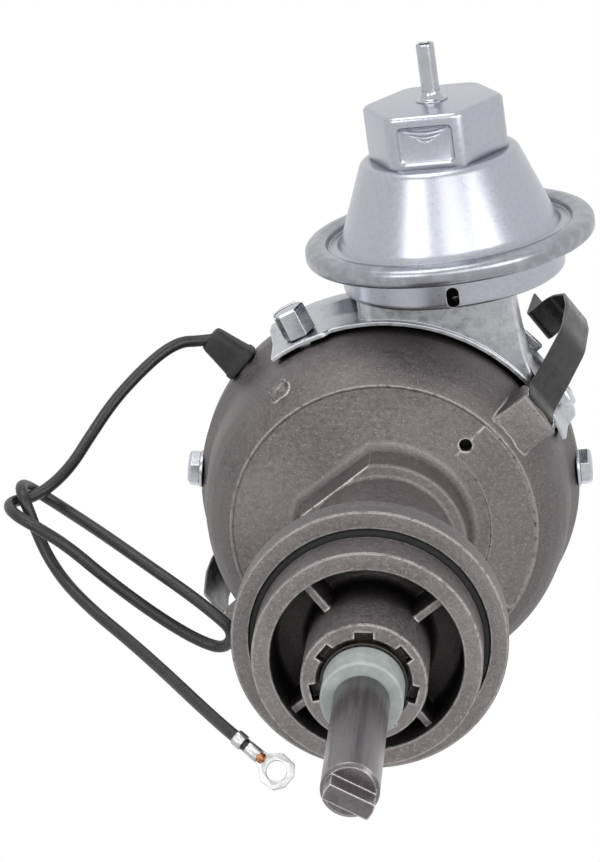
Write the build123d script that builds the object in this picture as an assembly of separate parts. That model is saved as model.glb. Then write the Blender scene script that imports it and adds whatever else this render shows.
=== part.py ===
from build123d import *
import math
import os

# Ignition distributor for a V8 engine, seen in its installed attitude: drive shaft down, bowl up.
# The origin is on the shaft axis, in the plane of the mounting flange's lower face.
# Millimetres and degrees. Angles go round the shaft axis from +X towards +Y.

# Clearances
running_gap = 0.03
pin_gap = 0.05
seat_gap = 0.1
swing_gap = 0.35
cut_over = 1.0

# Drive shaft
shaft_radius = 6.35
shaft_end = -78.0
tang_height = 5.0
tang_width = 3.9
tang_angle = 34.0
tang_chamfer = 0.8
journal_radius = 6.15
journal_lead = 0.5
upper_shaft_radius = 5.6
spindle_groove_radius = 4.5

# Mounting pilot, flange and hub of the housing
pilot_radius = 26.6
pilot_bore = 22.2
pilot_length = 10.9
pilot_floor = 3.2
flange_radius = 32.3
flange_thickness = 7.2
flange_round = 0.9
seal_groove_outer = 28.0
seal_groove_inner = 25.2
seal_groove_depth = 2.2
seal_groove_lip = 0.9
seal_ring_section = 1.35
seal_ring_height = 0.8
hub_radius = 14.4
hub_end = -23.2
hub_bore = 10.3
hub_bore_depth = 3.4
notch_count = 7
notch_radius = 12.3
notch_width = 4.3
notch_depth = 3.0
notch_angle = -82.5
rib_count = 4
rib_width = 2.0
rib_angle = -122.0
rib_recess = 2.9

# Neck and boss under the bowl
neck_radius = 18.0
neck_foot = 2.7
boss_radius = 21.5
boss_flat = 18.5
boss_flat_angle = -121.7
boss_root_radius = 24.3
boss_root_flat = 21.3
boss_root_height = 2.8
boss_root_slope = 2.6
neck_top = 60.0

# Bowl
bowl_floor = 70.3
disc_radius = 39.3
bowl_bulge_radius = 44.3
bulge_rise = 6.7
bowl_side_radius = 46.8
side_rise = 9.5
bowl_waist_radius = 47.3
waist_rise = 10.5
rim_radius = 49.5
rim_rise = 5.8
rim_band = 7.2
floor_thickness = 4.0
bowl_bore = 43.5
bowl_inner_round = 9.0
cap_seat_radius = 45.8
cap_seat_depth = 3.0
inner_boss_radius = 13.0
inner_boss_height = 2.0
oil_hole_radius = 1.65
oil_hole_place = 30.9
oil_hole_angle = -41.1
nub_angle = -119.5
nub_reach = 45.6
nub_width = 5.0
nub_rise = 3.3
nub_tall = 5.4

# Bushings
bushing_radius = 9.0
lower_bushing_length = 22.0
upper_bushing_length = 28.0
bushing_relief = 9.6

# Nylon collar with its pin
collar_radius = 9.36
collar_length = 9.2
collar_chamfer = 0.5
collar_low = -33.0
collar_pin_radius = 1.5
collar_pin_angle = 20.0
thrust_washer_radius = 9.9
thrust_washer_thickness = 1.2

# Centrifugal advance
governor_radius = 35.0
governor_thickness = 2.0
governor_rise = 9.7
governor_hub_radius = 11.0
top_washer_radius = 11.5
top_washer_thickness = 1.0
weight_pivot_place = 23.0
weight_pivot_angle = 90.0
weight_pin_radius = 2.4
weight_pin_shoulder = 1.0
weight_eye_radius = 5.5
weight_inner = 15.5
weight_outer = 31.0
weight_span = 105.0
weight_thickness = 4.0
weight_stud_place = 20.0
weight_stud_angle = 40.0
weight_stud_radius = 1.6
weight_swing = 10.0
advance_swing = 12.0
yoke_rise = 6.0
yoke_thickness = 1.8
yoke_reach = 27.0
yoke_hub_radius = 12.0
yoke_arm_width = 14.0
yoke_slot_gap = 0.35
spring_arm_width = 6.0
spring_post_radius = 1.5
spring_drop = 3.0
yoke_post_place = 24.0
yoke_post_angle = -40.0
plate_post_place = 33.0
plate_post_angle = -65.0
governor_spring_radius = 1.9
governor_spring_wire = 0.6
governor_spring_turns = 7

# Cam and its sleeve
sleeve_radius = 8.6
sleeve_rise = 6.0
sleeve_counterbore = 7.0
sleeve_well = 8.0
cam_sides = 8
cam_peak_radius = 11.4
cam_corner_round = 2.2
cam_drop = 7.0
cam_height = 6.5
cam_turn = 11.5
rotor_slot_width = 3.0
rotor_slot_depth = 4.5
cam_ring_radius = 6.6
cam_ring_thickness = 1.0
spindle_lip = 1.1
wick_drop = 5.6
wick_length = 5.0

# Breaker plates
fixed_plate_drop = 12.5
fixed_plate_thickness = 1.4
bearing_step_radius = 16.0
bearing_radius = 17.4
bearing_bore = 13.2
moving_plate_radius = 38.0
moving_plate_thickness = 1.5
plate_pad_radius = 3.0
plate_pad_place = 32.0
plate_pad_count = 3
plate_pad_angle = 60.0
plate_pad_thickness = 1.0
plate_ring_radius = 18.4
plate_ring_thickness = 0.5
lug_width = 9.0
lug_thickness = 1.6
lug_drop = 1.4
plate_screw_angles = (-169.0, 1.5)
plate_screw_drop = 5.5
plate_screw_radius = 2.2
plate_screw_head = 8.4
plate_screw_head_height = 3.0
plate_washer_radius = 4.9
plate_washer_thickness = 0.9
plate_spot_radius = 5.2
plate_spot_seat = 49.0
screw_slot_width = 1.2
screw_slot_depth = 1.3

# Breaker contacts
block_gap = 0.05
block_length = 5.6
block_width = 5.0
block_nose = 1.2
arm_thickness = 2.4
arm_drop = 5.7
arm_tall = 4.3
arm_pivot_y = 17.0
arm_pivot_radius = 1.9
arm_eye_radius = 3.5
contact_y = -16.0
contact_radius = 2.2
contact_thickness = 1.0
contact_gap = 0.45
contact_post_width = 6.0
contact_post_thickness = 1.5
contact_base_thickness = 1.2
contact_base_outer = -30.0
contact_base_inner = -14.0
contact_base_half = 20.0
contact_foot_thickness = 1.0
lock_screw_x = -26.5
lock_screw_y = -14.5
small_screw_radius = 1.6
small_screw_head = 3.1
small_screw_head_height = 2.0
small_screw_clear = 0.3
terminal_x = -26.0
terminal_y = -3.5
terminal_size = 6.0
terminal_height = 5.4
terminal_stud_radius = 1.5
terminal_nut_radius = 2.4
leaf_thickness = 0.4
leaf_turn_y = 6.0
leaf_round = 1.5
leaf_inset = 0.5
lug_plate_thickness = 0.5
lug_plate_radius = 2.6

# Condenser
condenser_radius = 6.0
condenser_length = 25.0
condenser_x = 8.5
condenser_y = 28.0
condenser_chamfer = 0.8
condenser_strap_thickness = 0.9
condenser_screw_x = 16.5
condenser_screw_y = 18.0
condenser_foot_edge = 2.6
condenser_foot_overlap = 2.0
condenser_strap_width = 9.0
inner_lead_radius = 1.1

# Vacuum advance unit, on an axis that passes beside the shaft: distances run from the shaft along -Y
can_x = 24.0
can_drop = 7.0
can_back = 54.4
can_shell_radius = 28.5
can_wall = 0.8
can_lip_radius = 36.0
can_seam = 64.5
can_rod_hole = 5.5
diaphragm_thickness = 0.9
crimp_radius = 37.0
crimp_inner = 34.2
crimp_round = 0.7
channel_depth = 0.5
cone_foot = 68.2
cone_foot_radius = 27.4
cone_top = 87.5
cone_top_radius = 19.9
cone_mouth = 14.5
hex_flats = 32.0
hex_turn = -2.0
hex_corner_round = 3.7
hex_top = 101.0
hex_top_round = 1.6
hex_bore = 13.5
hex_roof = 3.0
recess_width = 14.0
recess_depth = 0.9
recess_low = 88.5
recess_high = 98.3
nipple_radius = 2.3
nipple_bore = 1.3
nipple_tip = 115.5
nipple_flare = 4.2
vent_radius = 1.9
vent_place = 59.2
diaphragm_cup_radius = 19.0
diaphragm_cup_height = 3.0
vacuum_spring_radius = 10.0
vacuum_spring_wire = 1.6
vacuum_spring_turns = 6
rod_width = 7.0
rod_thickness = 1.6
rod_stud_radius = 2.5
rod_end_left = 17.6
rod_end_edge = 2.6
rod_end_reach = 12.6
rod_pin_y = -8.0
rod_pin_radius = 1.9
rod_pin_head = 1.0
rod_slot_gap = 0.2
rod_window_width = 13.0
rod_window_height = 6.5
plate_swing = 10.0

# Vacuum bracket
bracket_start = -119.0
bracket_end = -15.0
bracket_foot_rise = 2.0
bracket_drop = 1.4
bracket_thickness = 2.4
bracket_neck_left = -1.0
bracket_neck_right = 39.0
bracket_neck_under = 13.5
bracket_neck_over = 4.5
bracket_neck_round = 4.0
bracket_neck_wall = 2.0
bracket_tab_start = -44.0
bracket_tab_end = -36.0
bracket_tab_reach = 2.0
bracket_tab_tall = 2.0
bracket_screw_angles = (-109.0, -25.0)
bracket_screw_drops = (17.5, 13.0)
bracket_screw_heads = (7.6, 3.0)
bracket_screw_radius = 2.4
bracket_screw_flats = 8.4

# Cap clips, swung outward as they hang with no cap fitted
clip_angles = (-31.5, 148.5)
clip_ear_reach = 50.2
clip_ear_width = 12.6
clip_ear_rise = 0.9
clip_ear_tall = 7.8
clip_ear_shelf = 1.2
clip_pin_place = 48.4
clip_pin_rise = 5.3
clip_pin_radius = 1.2
clip_eye_radius = 2.1
clip_width = 9.4
clip_thickness = 0.8
clip_gap = 0.3
# The strap's line out from the pin and up, and the radius of each of its bends
clip_line = [
    (1.7, 0.0),
    (2.1, 6.0),
    (7.2, 19.1),
    (12.4, 33.9),
    (13.9, 51.0),
    (13.2, 61.0),
    (8.2, 69.0),
    (0.6, 67.2),
    (3.0, 81.0),
]
clip_bends = [6.0, 20.0, 20.0, 20.0, 6.0, 5.0, 1.2]

# Lead wire grommet
grommet_angle = -132.5
grommet_drop = 5.0
grommet_reach = 61.0
grommet_base_width = 9.6
grommet_tip_width = 6.4
grommet_base_tall = 7.6
grommet_tip_tall = 5.6
grommet_neck_radius = 3.2
grommet_inner_radius = 4.2
grommet_corner = 1.8
grommet_inner_thickness = 1.6

# Lead wire, its route chosen by hand along the real one, and its ring terminal
wire_radius = 1.5
terminal_hole = 2.4
terminal_plate_radius = 4.15
terminal_plate_thickness = 0.8
terminal_neck_width = 4.6
terminal_centre = (-23.77, 22.92, -16.0)
terminal_normal = (-0.048, -0.584, -0.811)
crimp_sleeve_radius = 1.9
crimp_sleeve_length = 4.6
arc_share = 0.45
route = [
    (-40.7, -44.3, 105.0),
    (-44.6, -44.4, 104.6),
    (-48.3, -45.2, 103.2),
    (-53.1, -44.0, 100.4),
    (-59.5, -40.3, 96.0),
    (-66.5, -35.1, 90.5),
    (-72.5, -29.0, 83.4),
    (-76.9, -24.6, 74.6),
    (-81.9, -22.1, 67.0),
    (-87.1, -20.8, 64.2),
    (-90.7, -21.1, 63.0),
    (-91.3, -21.3, 58.6),
    (-88.4, -20.7, 53.0),
    (-83.1, -18.2, 50.0),
    (-76.3, -12.7, 49.4),
    (-68.4, -3.9, 48.6),
    (-59.5, 4.7, 47.4),
    (-51.5, 11.0, 45.6),
    (-45.3, 14.6, 43.8),
    (-41.0, 15.6, 42.2),
    (-37.9, 12.9, 39.6),
    (-37.4, 9.1, 38.2),
    (-40.6, 6.0, 39.8),
    (-47.1, 1.7, 44.6),
    (-57.1, -4.1, 51.5),
    (-68.8, -10.5, 60.4),
    (-78.5, -14.9, 68.4),
    (-84.4, -17.5, 73.2),
    (-87.4, -21.0, 71.4),
    (-88.5, -24.3, 66.0),
    (-87.7, -24.3, 60.2),
    (-86.3, -21.0, 57.8),
    (-85.1, -15.6, 56.8),
    (-82.8, -8.7, 54.5),
    (-78.3, -2.7, 49.5),
    (-70.9, 2.3, 41.5),
    (-61.5, 6.5, 31.0),
    (-51.8, 10.5, 18.5),
    (-42.9, 13.7, 5.5),
    (-37.0, 15.3, -3.5),
    (-33.6, 16.1, -8.6),
    (-31.4, 16.9, -11.2),
]

# Heights and radii that follow from the sizes above
pilot_face = -pilot_length
bowl_bulge_height = bowl_floor + bulge_rise
bowl_side_height = bowl_bulge_height + side_rise
bowl_waist_height = bowl_side_height + waist_rise
rim_low = bowl_waist_height + rim_rise
rim_top = rim_low + rim_band
nub_low = bowl_floor + nub_rise
nub_high = nub_low + nub_tall
clip_ear_low = bowl_floor + clip_ear_rise
clip_ear_top = clip_ear_low + clip_ear_tall
clip_pin_height = bowl_floor + clip_pin_rise
governor_low = bowl_floor + governor_rise
fixed_plate_low = rim_top - fixed_plate_drop
lug_top = rim_top - lug_drop
plate_screw_height = rim_top - plate_screw_drop
sleeve_top = rim_top + sleeve_rise
sleeve_shoulder = sleeve_top - sleeve_well
cam_low = rim_top - cam_drop
cam_high = cam_low + cam_height
wick_low = sleeve_top - wick_drop
arm_low = rim_top - arm_drop
arm_high = arm_low + arm_tall
can_height = rim_top - can_drop
bracket_low = bowl_side_height + bracket_foot_rise
bracket_top = rim_top - bracket_drop
bracket_tab_low = bracket_top - bracket_tab_tall
bracket_neck_low = can_height - bracket_neck_under
bracket_neck_high = can_height + bracket_neck_over
bracket_screw_heights = [rim_top - drop for drop in bracket_screw_drops]
grommet_height = rim_top - grommet_drop
shaft_bore = journal_radius + running_gap
journal_low = collar_low - journal_lead
inner_floor = bowl_floor + floor_thickness
cap_seat = rim_top - cap_seat_depth
washer_low = collar_low + collar_length + running_gap
washer_high = washer_low + thrust_washer_thickness
lower_bushing_high = washer_high + lower_bushing_length
upper_bushing_high = inner_floor + inner_boss_height
upper_bushing_low = upper_bushing_high - upper_bushing_length
top_washer_high = upper_bushing_high + top_washer_thickness
governor_high = governor_low + governor_thickness
weight_low = governor_high + swing_gap
weight_high = weight_low + weight_thickness
yoke_low = governor_high + yoke_rise
yoke_high = yoke_low + yoke_thickness
spring_height = yoke_low - spring_drop
sleeve_low = governor_high + running_gap
spindle_top = sleeve_shoulder + seat_gap + cam_ring_thickness + spindle_lip
fixed_plate_radius = bowl_bore - seat_gap
fixed_plate_high = fixed_plate_low + fixed_plate_thickness
moving_plate_low = fixed_plate_high + plate_pad_thickness + pin_gap
moving_plate_high = moving_plate_low + moving_plate_thickness
bearing_high = moving_plate_high + pin_gap
plate_ring_high = bearing_high + plate_ring_thickness
base_high = moving_plate_high + contact_base_thickness
foot_high = base_high + contact_foot_thickness
block_tip = -(cam_peak_radius + block_gap)
arm_inner = block_tip - block_length
arm_outer = arm_inner - arm_thickness
arm_pivot_x = (arm_inner + arm_outer) / 2
contact_height = (arm_low + arm_high) / 2
terminal_top = base_high + terminal_height
screw_bottom = moving_plate_low + small_screw_clear
strap_high = moving_plate_high + condenser_strap_thickness
condenser_height = strap_high + condenser_radius
ring_low = sleeve_shoulder + seat_gap
rod_pin_angle = math.degrees(math.atan2(rod_pin_y, can_x))
rod_low = can_height - rod_thickness / 2
rod_high = can_height + rod_thickness / 2
lip_outside = can_seam + diaphragm_thickness
cup_seat = lip_outside + diaphragm_thickness
hex_ceiling = hex_top - hex_roof
wall_slope = (bowl_waist_radius - bowl_side_radius) / (bowl_waist_height - bowl_side_height)


def disc(radius, low, high):
    return Pos(0, 0, (low + high) / 2) * Cylinder(radius, high - low)


def tube(outer, inner, low, high):
    return disc(outer, low, high) - disc(inner, low - cut_over, high + cut_over)


def block(x_low, x_high, y_low, y_high, z_low, z_high):
    middle = Pos((x_low + x_high) / 2, (y_low + y_high) / 2, (z_low + z_high) / 2)
    return middle * Box(x_high - x_low, y_high - y_low, z_high - z_low)


def post(radius, x, y, low, high):
    return Pos(x, y, 0) * disc(radius, low, high)


def turned(points, arc=360):
    outline = Polyline(*[(radius, 0, height) for radius, height in points], close=True)
    return revolve(make_face(outline), Axis.Z, revolution_arc=arc)


def polar(radius, angle):
    return radius * math.cos(math.radians(angle)), radius * math.sin(math.radians(angle))


def around(angle):
    return Rot(0, 0, angle)


def radial_bar(radius, start, end, angle, height):
    """A round bar that points away from the shaft axis."""
    bar = Rot(0, 90, 0) * Cylinder(radius, end - start)
    return around(angle) * (Pos((start + end) / 2, 0, height) * bar)


def group(solids):
    return Compound(children=list(solids))


def screw(flats, head, radius, length):
    """A slotted hexagon-head screw along +X, the seat of its head at the origin."""
    body = Rot(0, 90, 0) * extrude(RegularPolygon(flats / 2, 6, major_radius=False), head)
    half = screw_slot_width / 2
    slot = block(head - screw_slot_depth, head + cut_over, -flats, flats, -half, half)
    thread = Pos(-length / 2, 0, 0) * (Rot(0, 90, 0) * Cylinder(radius, length))
    return body - slot + thread


def upright_screw(x, y, seat):
    """A small slotted pan-head screw through the moving plate."""
    head = post(small_screw_head, x, y, seat, seat + small_screw_head_height)
    slot_low = seat + small_screw_head_height / 2
    half = screw_slot_width / 2
    reach = 2 * small_screw_head
    head -= block(x - half, x + half, y - reach, y + reach, slot_low, 2 * seat)
    return head + post(small_screw_radius, x, y, screw_bottom, seat)


def arc_radii(points):
    """The largest arc that each corner's two runs allow."""
    radii = []
    for before, here, after in zip(points, points[1:], points[2:]):
        run_in = Vector(*here) - Vector(*before)
        run_out = Vector(*after) - Vector(*here)
        half_turn = math.radians(run_in.get_angle(run_out)) / 2
        radii.append(arc_share * min(run_in.length, run_out.length) / math.tan(half_turn))
    return radii


def round_rod(points, radius):
    """A flexible rod: straight runs joined by tangent arcs."""
    path = FilletPolyline(*points, radius=arc_radii(points))
    section = Plane(origin=path @ 0, z_dir=path % 0) * Circle(radius)
    return sweep(section, path=path), path


def coil(radius, wire, turns, length):
    """An open coil spring along +Z, from the origin."""
    line = Helix(pitch=length / turns, height=length, radius=radius)
    section = Plane(origin=line @ 0, z_dir=line % 0) * Circle(wire / 2)
    return sweep(section, path=line, is_frenet=True)


def on_can(shape):
    """Puts a shape that is modelled along +Z on the vacuum unit's axis, which points along -Y."""
    return Pos(can_x, 0, can_height) * (Rot(90, 0, 0) * shape)


pin_at_full_swing = polar(math.hypot(can_x, rod_pin_y), rod_pin_angle - plate_swing)


# Housing

def beyond_flat(reach, low):
    """What the boss's flat side cuts away."""
    half = boss_root_radius
    return around(boss_flat_angle) * block(reach, 2 * half, -half, half, low, bowl_floor + 2 * cut_over)


def housing_lower_body():
    edge = flange_round
    body = turned([
        (0, hub_end),
        (hub_radius - edge, hub_end),
        (hub_radius, hub_end + edge),
        (hub_radius, pilot_floor),
        (pilot_bore, pilot_floor),
        (pilot_bore, pilot_face + edge),
        (pilot_bore + edge, pilot_face),
        (pilot_radius - edge, pilot_face),
        (pilot_radius, pilot_face + edge),
        (pilot_radius, -seal_groove_lip),
        (seal_groove_inner, -seal_groove_lip),
        (seal_groove_inner, seal_groove_depth),
        (seal_groove_outer, seal_groove_depth),
        (seal_groove_outer, 0),
        (flange_radius - edge, 0),
        (flange_radius, edge),
        (flange_radius, flange_thickness - edge),
        (flange_radius - edge, flange_thickness),
        (neck_radius + neck_foot, flange_thickness),
        (neck_radius, flange_thickness + neck_foot),
        (neck_radius, neck_top),
        (boss_radius - edge, neck_top),
        (boss_radius, neck_top + edge),
        (boss_radius, bowl_floor + cut_over),
        (0, bowl_floor + cut_over),
    ])
    body -= beyond_flat(boss_flat, neck_top - cut_over)
    root_low = bowl_floor - boss_root_height
    root = disc(boss_root_radius, root_low, bowl_floor + cut_over)
    root -= beyond_flat(boss_root_flat, root_low - cut_over)
    root = chamfer(root.faces().sort_by(Axis.Z)[0].edges(), boss_root_slope)
    for k in range(rib_count):
        rib_low = pilot_face + rib_recess
        half = rib_width / 2
        rib = block(hub_radius - edge, pilot_bore + edge, -half, half, rib_low, pilot_floor)
        body += around(rib_angle + 360 / rib_count * k) * rib
    return body + root


def bowl_outside():
    lines = (
        Polyline((0, 0, bowl_floor), (disc_radius, 0, bowl_floor))
        + ThreePointArc(
            (disc_radius, 0, bowl_floor),
            (bowl_bulge_radius, 0, bowl_bulge_height),
            (bowl_side_radius, 0, bowl_side_height),
        )
        + Polyline(
            (bowl_side_radius, 0, bowl_side_height),
            (bowl_waist_radius, 0, bowl_waist_height),
            (rim_radius, 0, rim_low),
            (rim_radius, 0, rim_top),
            (0, 0, rim_top),
            (0, 0, bowl_floor),
        )
    )
    return revolve(make_face(lines), Axis.Z)


def bowl_inside():
    round_top = inner_floor + bowl_inner_round
    arc_middle = bowl_inner_round * (1 - math.sqrt(0.5))
    lines = (
        Polyline(
            (0, 0, rim_top + cut_over),
            (0, 0, upper_bushing_high),
            (inner_boss_radius, 0, upper_bushing_high),
            (inner_boss_radius, 0, inner_floor),
            (bowl_bore - bowl_inner_round, 0, inner_floor),
        )
        + ThreePointArc(
            (bowl_bore - bowl_inner_round, 0, inner_floor),
            (bowl_bore - arc_middle, 0, inner_floor + arc_middle),
            (bowl_bore, 0, round_top),
        )
        + Polyline(
            (bowl_bore, 0, round_top),
            (bowl_bore, 0, cap_seat),
            (cap_seat_radius, 0, cap_seat),
            (cap_seat_radius, 0, rim_top + cut_over),
            (0, 0, rim_top + cut_over),
        )
    )
    return revolve(make_face(lines), Axis.Z)


def housing():
    body = housing_lower_body() + bowl_outside()
    half_ear = clip_ear_width / 2
    half_slot = clip_width / 2 + clip_gap
    slot_inner = clip_pin_place - clip_eye_radius - clip_gap
    for angle in clip_angles:
        ear = block(disc_radius, clip_ear_reach, -half_ear, half_ear, clip_ear_low, clip_ear_top)
        slot_low = clip_ear_low + clip_ear_shelf
        slot_end = clip_ear_reach + cut_over
        ear -= block(slot_inner, slot_end, -half_slot, half_slot, slot_low, clip_ear_top + cut_over)
        ear -= clip_pin(2 * cut_over)
        body += around(angle) * ear
    nub = block(disc_radius, nub_reach, -nub_width / 2, nub_width / 2, nub_low, nub_high)
    body += around(nub_angle) * nub
    body -= bowl_inside()
    body -= disc(bushing_radius, hub_end - cut_over, lower_bushing_high)
    body -= disc(bushing_relief, lower_bushing_high, upper_bushing_low)
    body -= disc(bushing_radius, upper_bushing_low, rim_top)
    body -= disc(hub_bore, hub_end - cut_over, hub_end + hub_bore_depth)
    notch_place = notch_radius - notch_width / 2
    for k in range(notch_count):
        x, y = polar(notch_place, notch_angle + 360 / notch_count * k)
        body -= post(notch_width / 2, x, y, hub_end - cut_over, hub_end + notch_depth)
    x, y = polar(oil_hole_place, oil_hole_angle)
    body -= post(oil_hole_radius, x, y, bowl_floor - cut_over, inner_floor + cut_over)
    inner = bowl_bore - cut_over
    outer = rim_radius + cut_over
    for angle in plate_screw_angles:
        body -= radial_bar(plate_screw_radius + seat_gap, inner, rim_radius, angle, plate_screw_height)
        body -= radial_bar(plate_spot_radius, plate_spot_seat, outer, angle, plate_screw_height)
    for angle, height in zip(bracket_screw_angles, bracket_screw_heights):
        body -= radial_bar(bracket_screw_radius, inner, outer, angle, height)
    body -= radial_bar(grommet_neck_radius, inner, outer, grommet_angle, grommet_height)
    return body - rod_window(bowl_waist_radius)


def rod_window(reach):
    half_width = rod_window_width / 2
    half_height = rod_window_height / 2
    return block(
        can_x - half_width,
        can_x + half_width,
        -reach,
        rod_pin_y - rod_end_reach,
        can_height - half_height,
        can_height + half_height,
    )


# Drive shaft and what turns with it

def drive_shaft():
    shaft = disc(shaft_radius, shaft_end, journal_low)
    shaft += disc(journal_radius, journal_low, governor_high)
    shaft += disc(upper_shaft_radius, governor_high, spindle_top)
    shaft = chamfer(shaft.edges().sort_by(Axis.Z)[0], tang_chamfer)
    groove_low = sleeve_shoulder + seat_gap
    groove_high = groove_low + cam_ring_thickness
    groove = tube(2 * upper_shaft_radius, spindle_groove_radius, groove_low, groove_high)
    tang_end = shaft_end - tang_height
    half = tang_width / 2
    tang = around(tang_angle) * block(-shaft_radius, shaft_radius, -half, half, tang_end, shaft_end)
    tang &= disc(shaft_radius - tang_chamfer, tang_end, shaft_end)
    return shaft - groove + tang - collar_pin()


def collar_pin():
    pin = Rot(0, 90, 0) * Cylinder(collar_pin_radius, 2 * collar_radius)
    pin &= disc(collar_radius, -collar_radius, collar_radius)
    return around(collar_pin_angle) * (Pos(0, 0, collar_low + collar_length / 2) * pin)


def shaft_collar():
    edge = collar_chamfer
    top = collar_low + collar_length
    collar = turned([
        (journal_radius, collar_low),
        (collar_radius - edge, collar_low),
        (collar_radius, collar_low + edge),
        (collar_radius, top - edge),
        (collar_radius - edge, top),
        (journal_radius, top),
    ])
    return collar - collar_pin()


def governor_plate():
    plate = disc(governor_hub_radius, top_washer_high + running_gap, governor_low)
    plate += disc(governor_radius, governor_low, governor_high)
    plate -= disc(journal_radius, hub_end, cap_seat)
    for pivot in (weight_pivot_angle, weight_pivot_angle + 180):
        x, y = polar(weight_pivot_place, pivot)
        plate -= post(weight_pin_radius, x, y, governor_low - cut_over, governor_high + cut_over)
        x, y = polar(plate_post_place, pivot + plate_post_angle)
        plate += post(spring_post_radius, x, y, governor_high, spring_height + 2 * spring_post_radius)
    return plate


def weight_pins():
    pins = []
    shoulder = weight_pin_radius + weight_pin_shoulder
    for pivot in (weight_pivot_angle, weight_pivot_angle + 180):
        x, y = polar(weight_pivot_place, pivot)
        pin = post(weight_pin_radius, x, y, governor_low, weight_high + 2 * swing_gap)
        pins.append(pin + post(shoulder, x, y, governor_high, weight_low - pin_gap))
    return group(pins)


def weight(pivot):
    sector = turned(
        [
            (weight_inner, weight_low),
            (weight_outer, weight_low),
            (weight_outer, weight_high),
            (weight_inner, weight_high),
        ],
        weight_span,
    )
    body = sector + post(weight_eye_radius, weight_pivot_place, 0, weight_low, weight_high)
    x, y = polar(weight_stud_place, weight_stud_angle)
    body += post(weight_stud_radius, x, y, weight_low, yoke_high + 2 * swing_gap)
    hole = weight_pin_radius + pin_gap
    body -= post(hole, weight_pivot_place, 0, weight_low - cut_over, weight_high + cut_over)
    return around(pivot) * body


def stud_place(swing):
    """Where a weight's stud is on the yoke when the weight has swung outward, with its pivot at angle 0."""
    x, y = polar(weight_stud_place, weight_stud_angle)
    x -= weight_pivot_place
    turn = math.radians(-swing)
    moved_x = weight_pivot_place + x * math.cos(turn) - y * math.sin(turn)
    moved_y = x * math.sin(turn) + y * math.cos(turn)
    back = math.radians(-advance_swing * swing / weight_swing)
    return (
        moved_x * math.cos(back) - moved_y * math.sin(back),
        moved_x * math.sin(back) + moved_y * math.cos(back),
    )


def cam_yoke():
    yoke = disc(yoke_hub_radius, yoke_low, yoke_high)
    half_arm = yoke_arm_width / 2
    half_spring_arm = spring_arm_width / 2
    start = stud_place(0)
    end = stud_place(weight_swing)
    middle = ((start[0] + end[0]) / 2, (start[1] + end[1]) / 2)
    slope = math.degrees(math.atan2(end[1] - start[1], end[0] - start[0]))
    slot_length = math.dist(start, end) + 2 * (weight_stud_radius + yoke_slot_gap)
    slot_shape = SlotOverall(slot_length, 2 * (weight_stud_radius + yoke_slot_gap))
    slot = around(slope) * extrude(slot_shape, yoke_thickness + 2 * cut_over)
    slot = Pos(middle[0], middle[1], yoke_low - cut_over) * slot
    arm_angle = math.degrees(math.atan2(middle[1], middle[0]))
    for pivot in (weight_pivot_angle, weight_pivot_angle + 180):
        yoke += around(pivot + arm_angle) * block(0, yoke_reach, -half_arm, half_arm, yoke_low, yoke_high)
        spring_arm = block(0, yoke_post_place, -half_spring_arm, half_spring_arm, yoke_low, yoke_high)
        spring_arm += post(half_spring_arm, yoke_post_place, 0, yoke_low, yoke_high)
        post_low = spring_height - spring_post_radius
        spring_arm += post(spring_post_radius, yoke_post_place, 0, post_low, yoke_low)
        yoke += around(pivot + yoke_post_angle) * spring_arm
        yoke -= around(pivot) * slot
    return yoke - disc(sleeve_radius, sleeve_low, sleeve_top)


def governor_springs():
    solids = []
    loop = spring_post_radius + governor_spring_wire
    for pivot in (weight_pivot_angle, weight_pivot_angle + 180):
        start = polar(yoke_post_place, pivot + yoke_post_angle)
        end = polar(plate_post_place, pivot + plate_post_angle)
        slope = math.degrees(math.atan2(end[1] - start[1], end[0] - start[0]))
        reach = loop + governor_spring_wire / 2
        length = math.dist(start, end) - 2 * reach
        spring = coil(governor_spring_radius, governor_spring_wire, governor_spring_turns, length)
        turned_spring = around(slope) * (Pos(reach, 0, 0) * (Rot(0, 90, 0) * spring))
        solids.append(Pos(start[0], start[1], spring_height) * turned_spring)
        for x, y in (start, end):
            solids.append(Pos(x, y, spring_height) * Torus(loop, governor_spring_wire / 2))
    return group(solids)


def cam_sleeve():
    sleeve = disc(sleeve_radius, sleeve_low, sleeve_top)
    corner = cam_peak_radius + cam_corner_round * (1 / math.cos(math.pi / cam_sides) - 1)
    lobes = fillet(RegularPolygon(corner, cam_sides, rotation=cam_turn).vertices(), cam_corner_round)
    sleeve += Pos(0, 0, cam_low) * extrude(lobes, cam_high - cam_low)
    sleeve -= disc(upper_shaft_radius + running_gap, sleeve_low - cut_over, sleeve_top)
    sleeve -= disc(sleeve_counterbore, sleeve_shoulder, sleeve_top + cut_over)
    half = rotor_slot_width / 2
    slot_low = sleeve_top - rotor_slot_depth
    return sleeve - block(0, 2 * sleeve_radius, -half, half, slot_low, sleeve_top + cut_over)


# Breaker plates

def fixed_breaker_plate():
    plate = disc(fixed_plate_radius, fixed_plate_low, fixed_plate_high)
    plate -= disc(bearing_step_radius, fixed_plate_low - cut_over, fixed_plate_high + cut_over)
    half = lug_width / 2
    for angle in plate_screw_angles:
        inner = fixed_plate_radius - lug_thickness
        lug = block(inner, fixed_plate_radius, -half, half, fixed_plate_low, lug_top)
        plate += (around(angle) * lug) & disc(fixed_plate_radius, fixed_plate_low, lug_top)
        plate -= radial_bar(plate_screw_radius, inner - cut_over, rim_radius, angle, plate_screw_height)
    return plate


def plate_pads():
    pads = []
    for k in range(plate_pad_count):
        x, y = polar(plate_pad_place, plate_pad_angle + 360 / plate_pad_count * k)
        pads.append(post(plate_pad_radius, x, y, fixed_plate_high, fixed_plate_high + plate_pad_thickness))
    return group(pads)


def plate_bearing():
    foot = tube(bearing_step_radius, bearing_bore, fixed_plate_low, fixed_plate_high)
    return foot + tube(bearing_radius, bearing_bore, fixed_plate_high, bearing_high)


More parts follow.
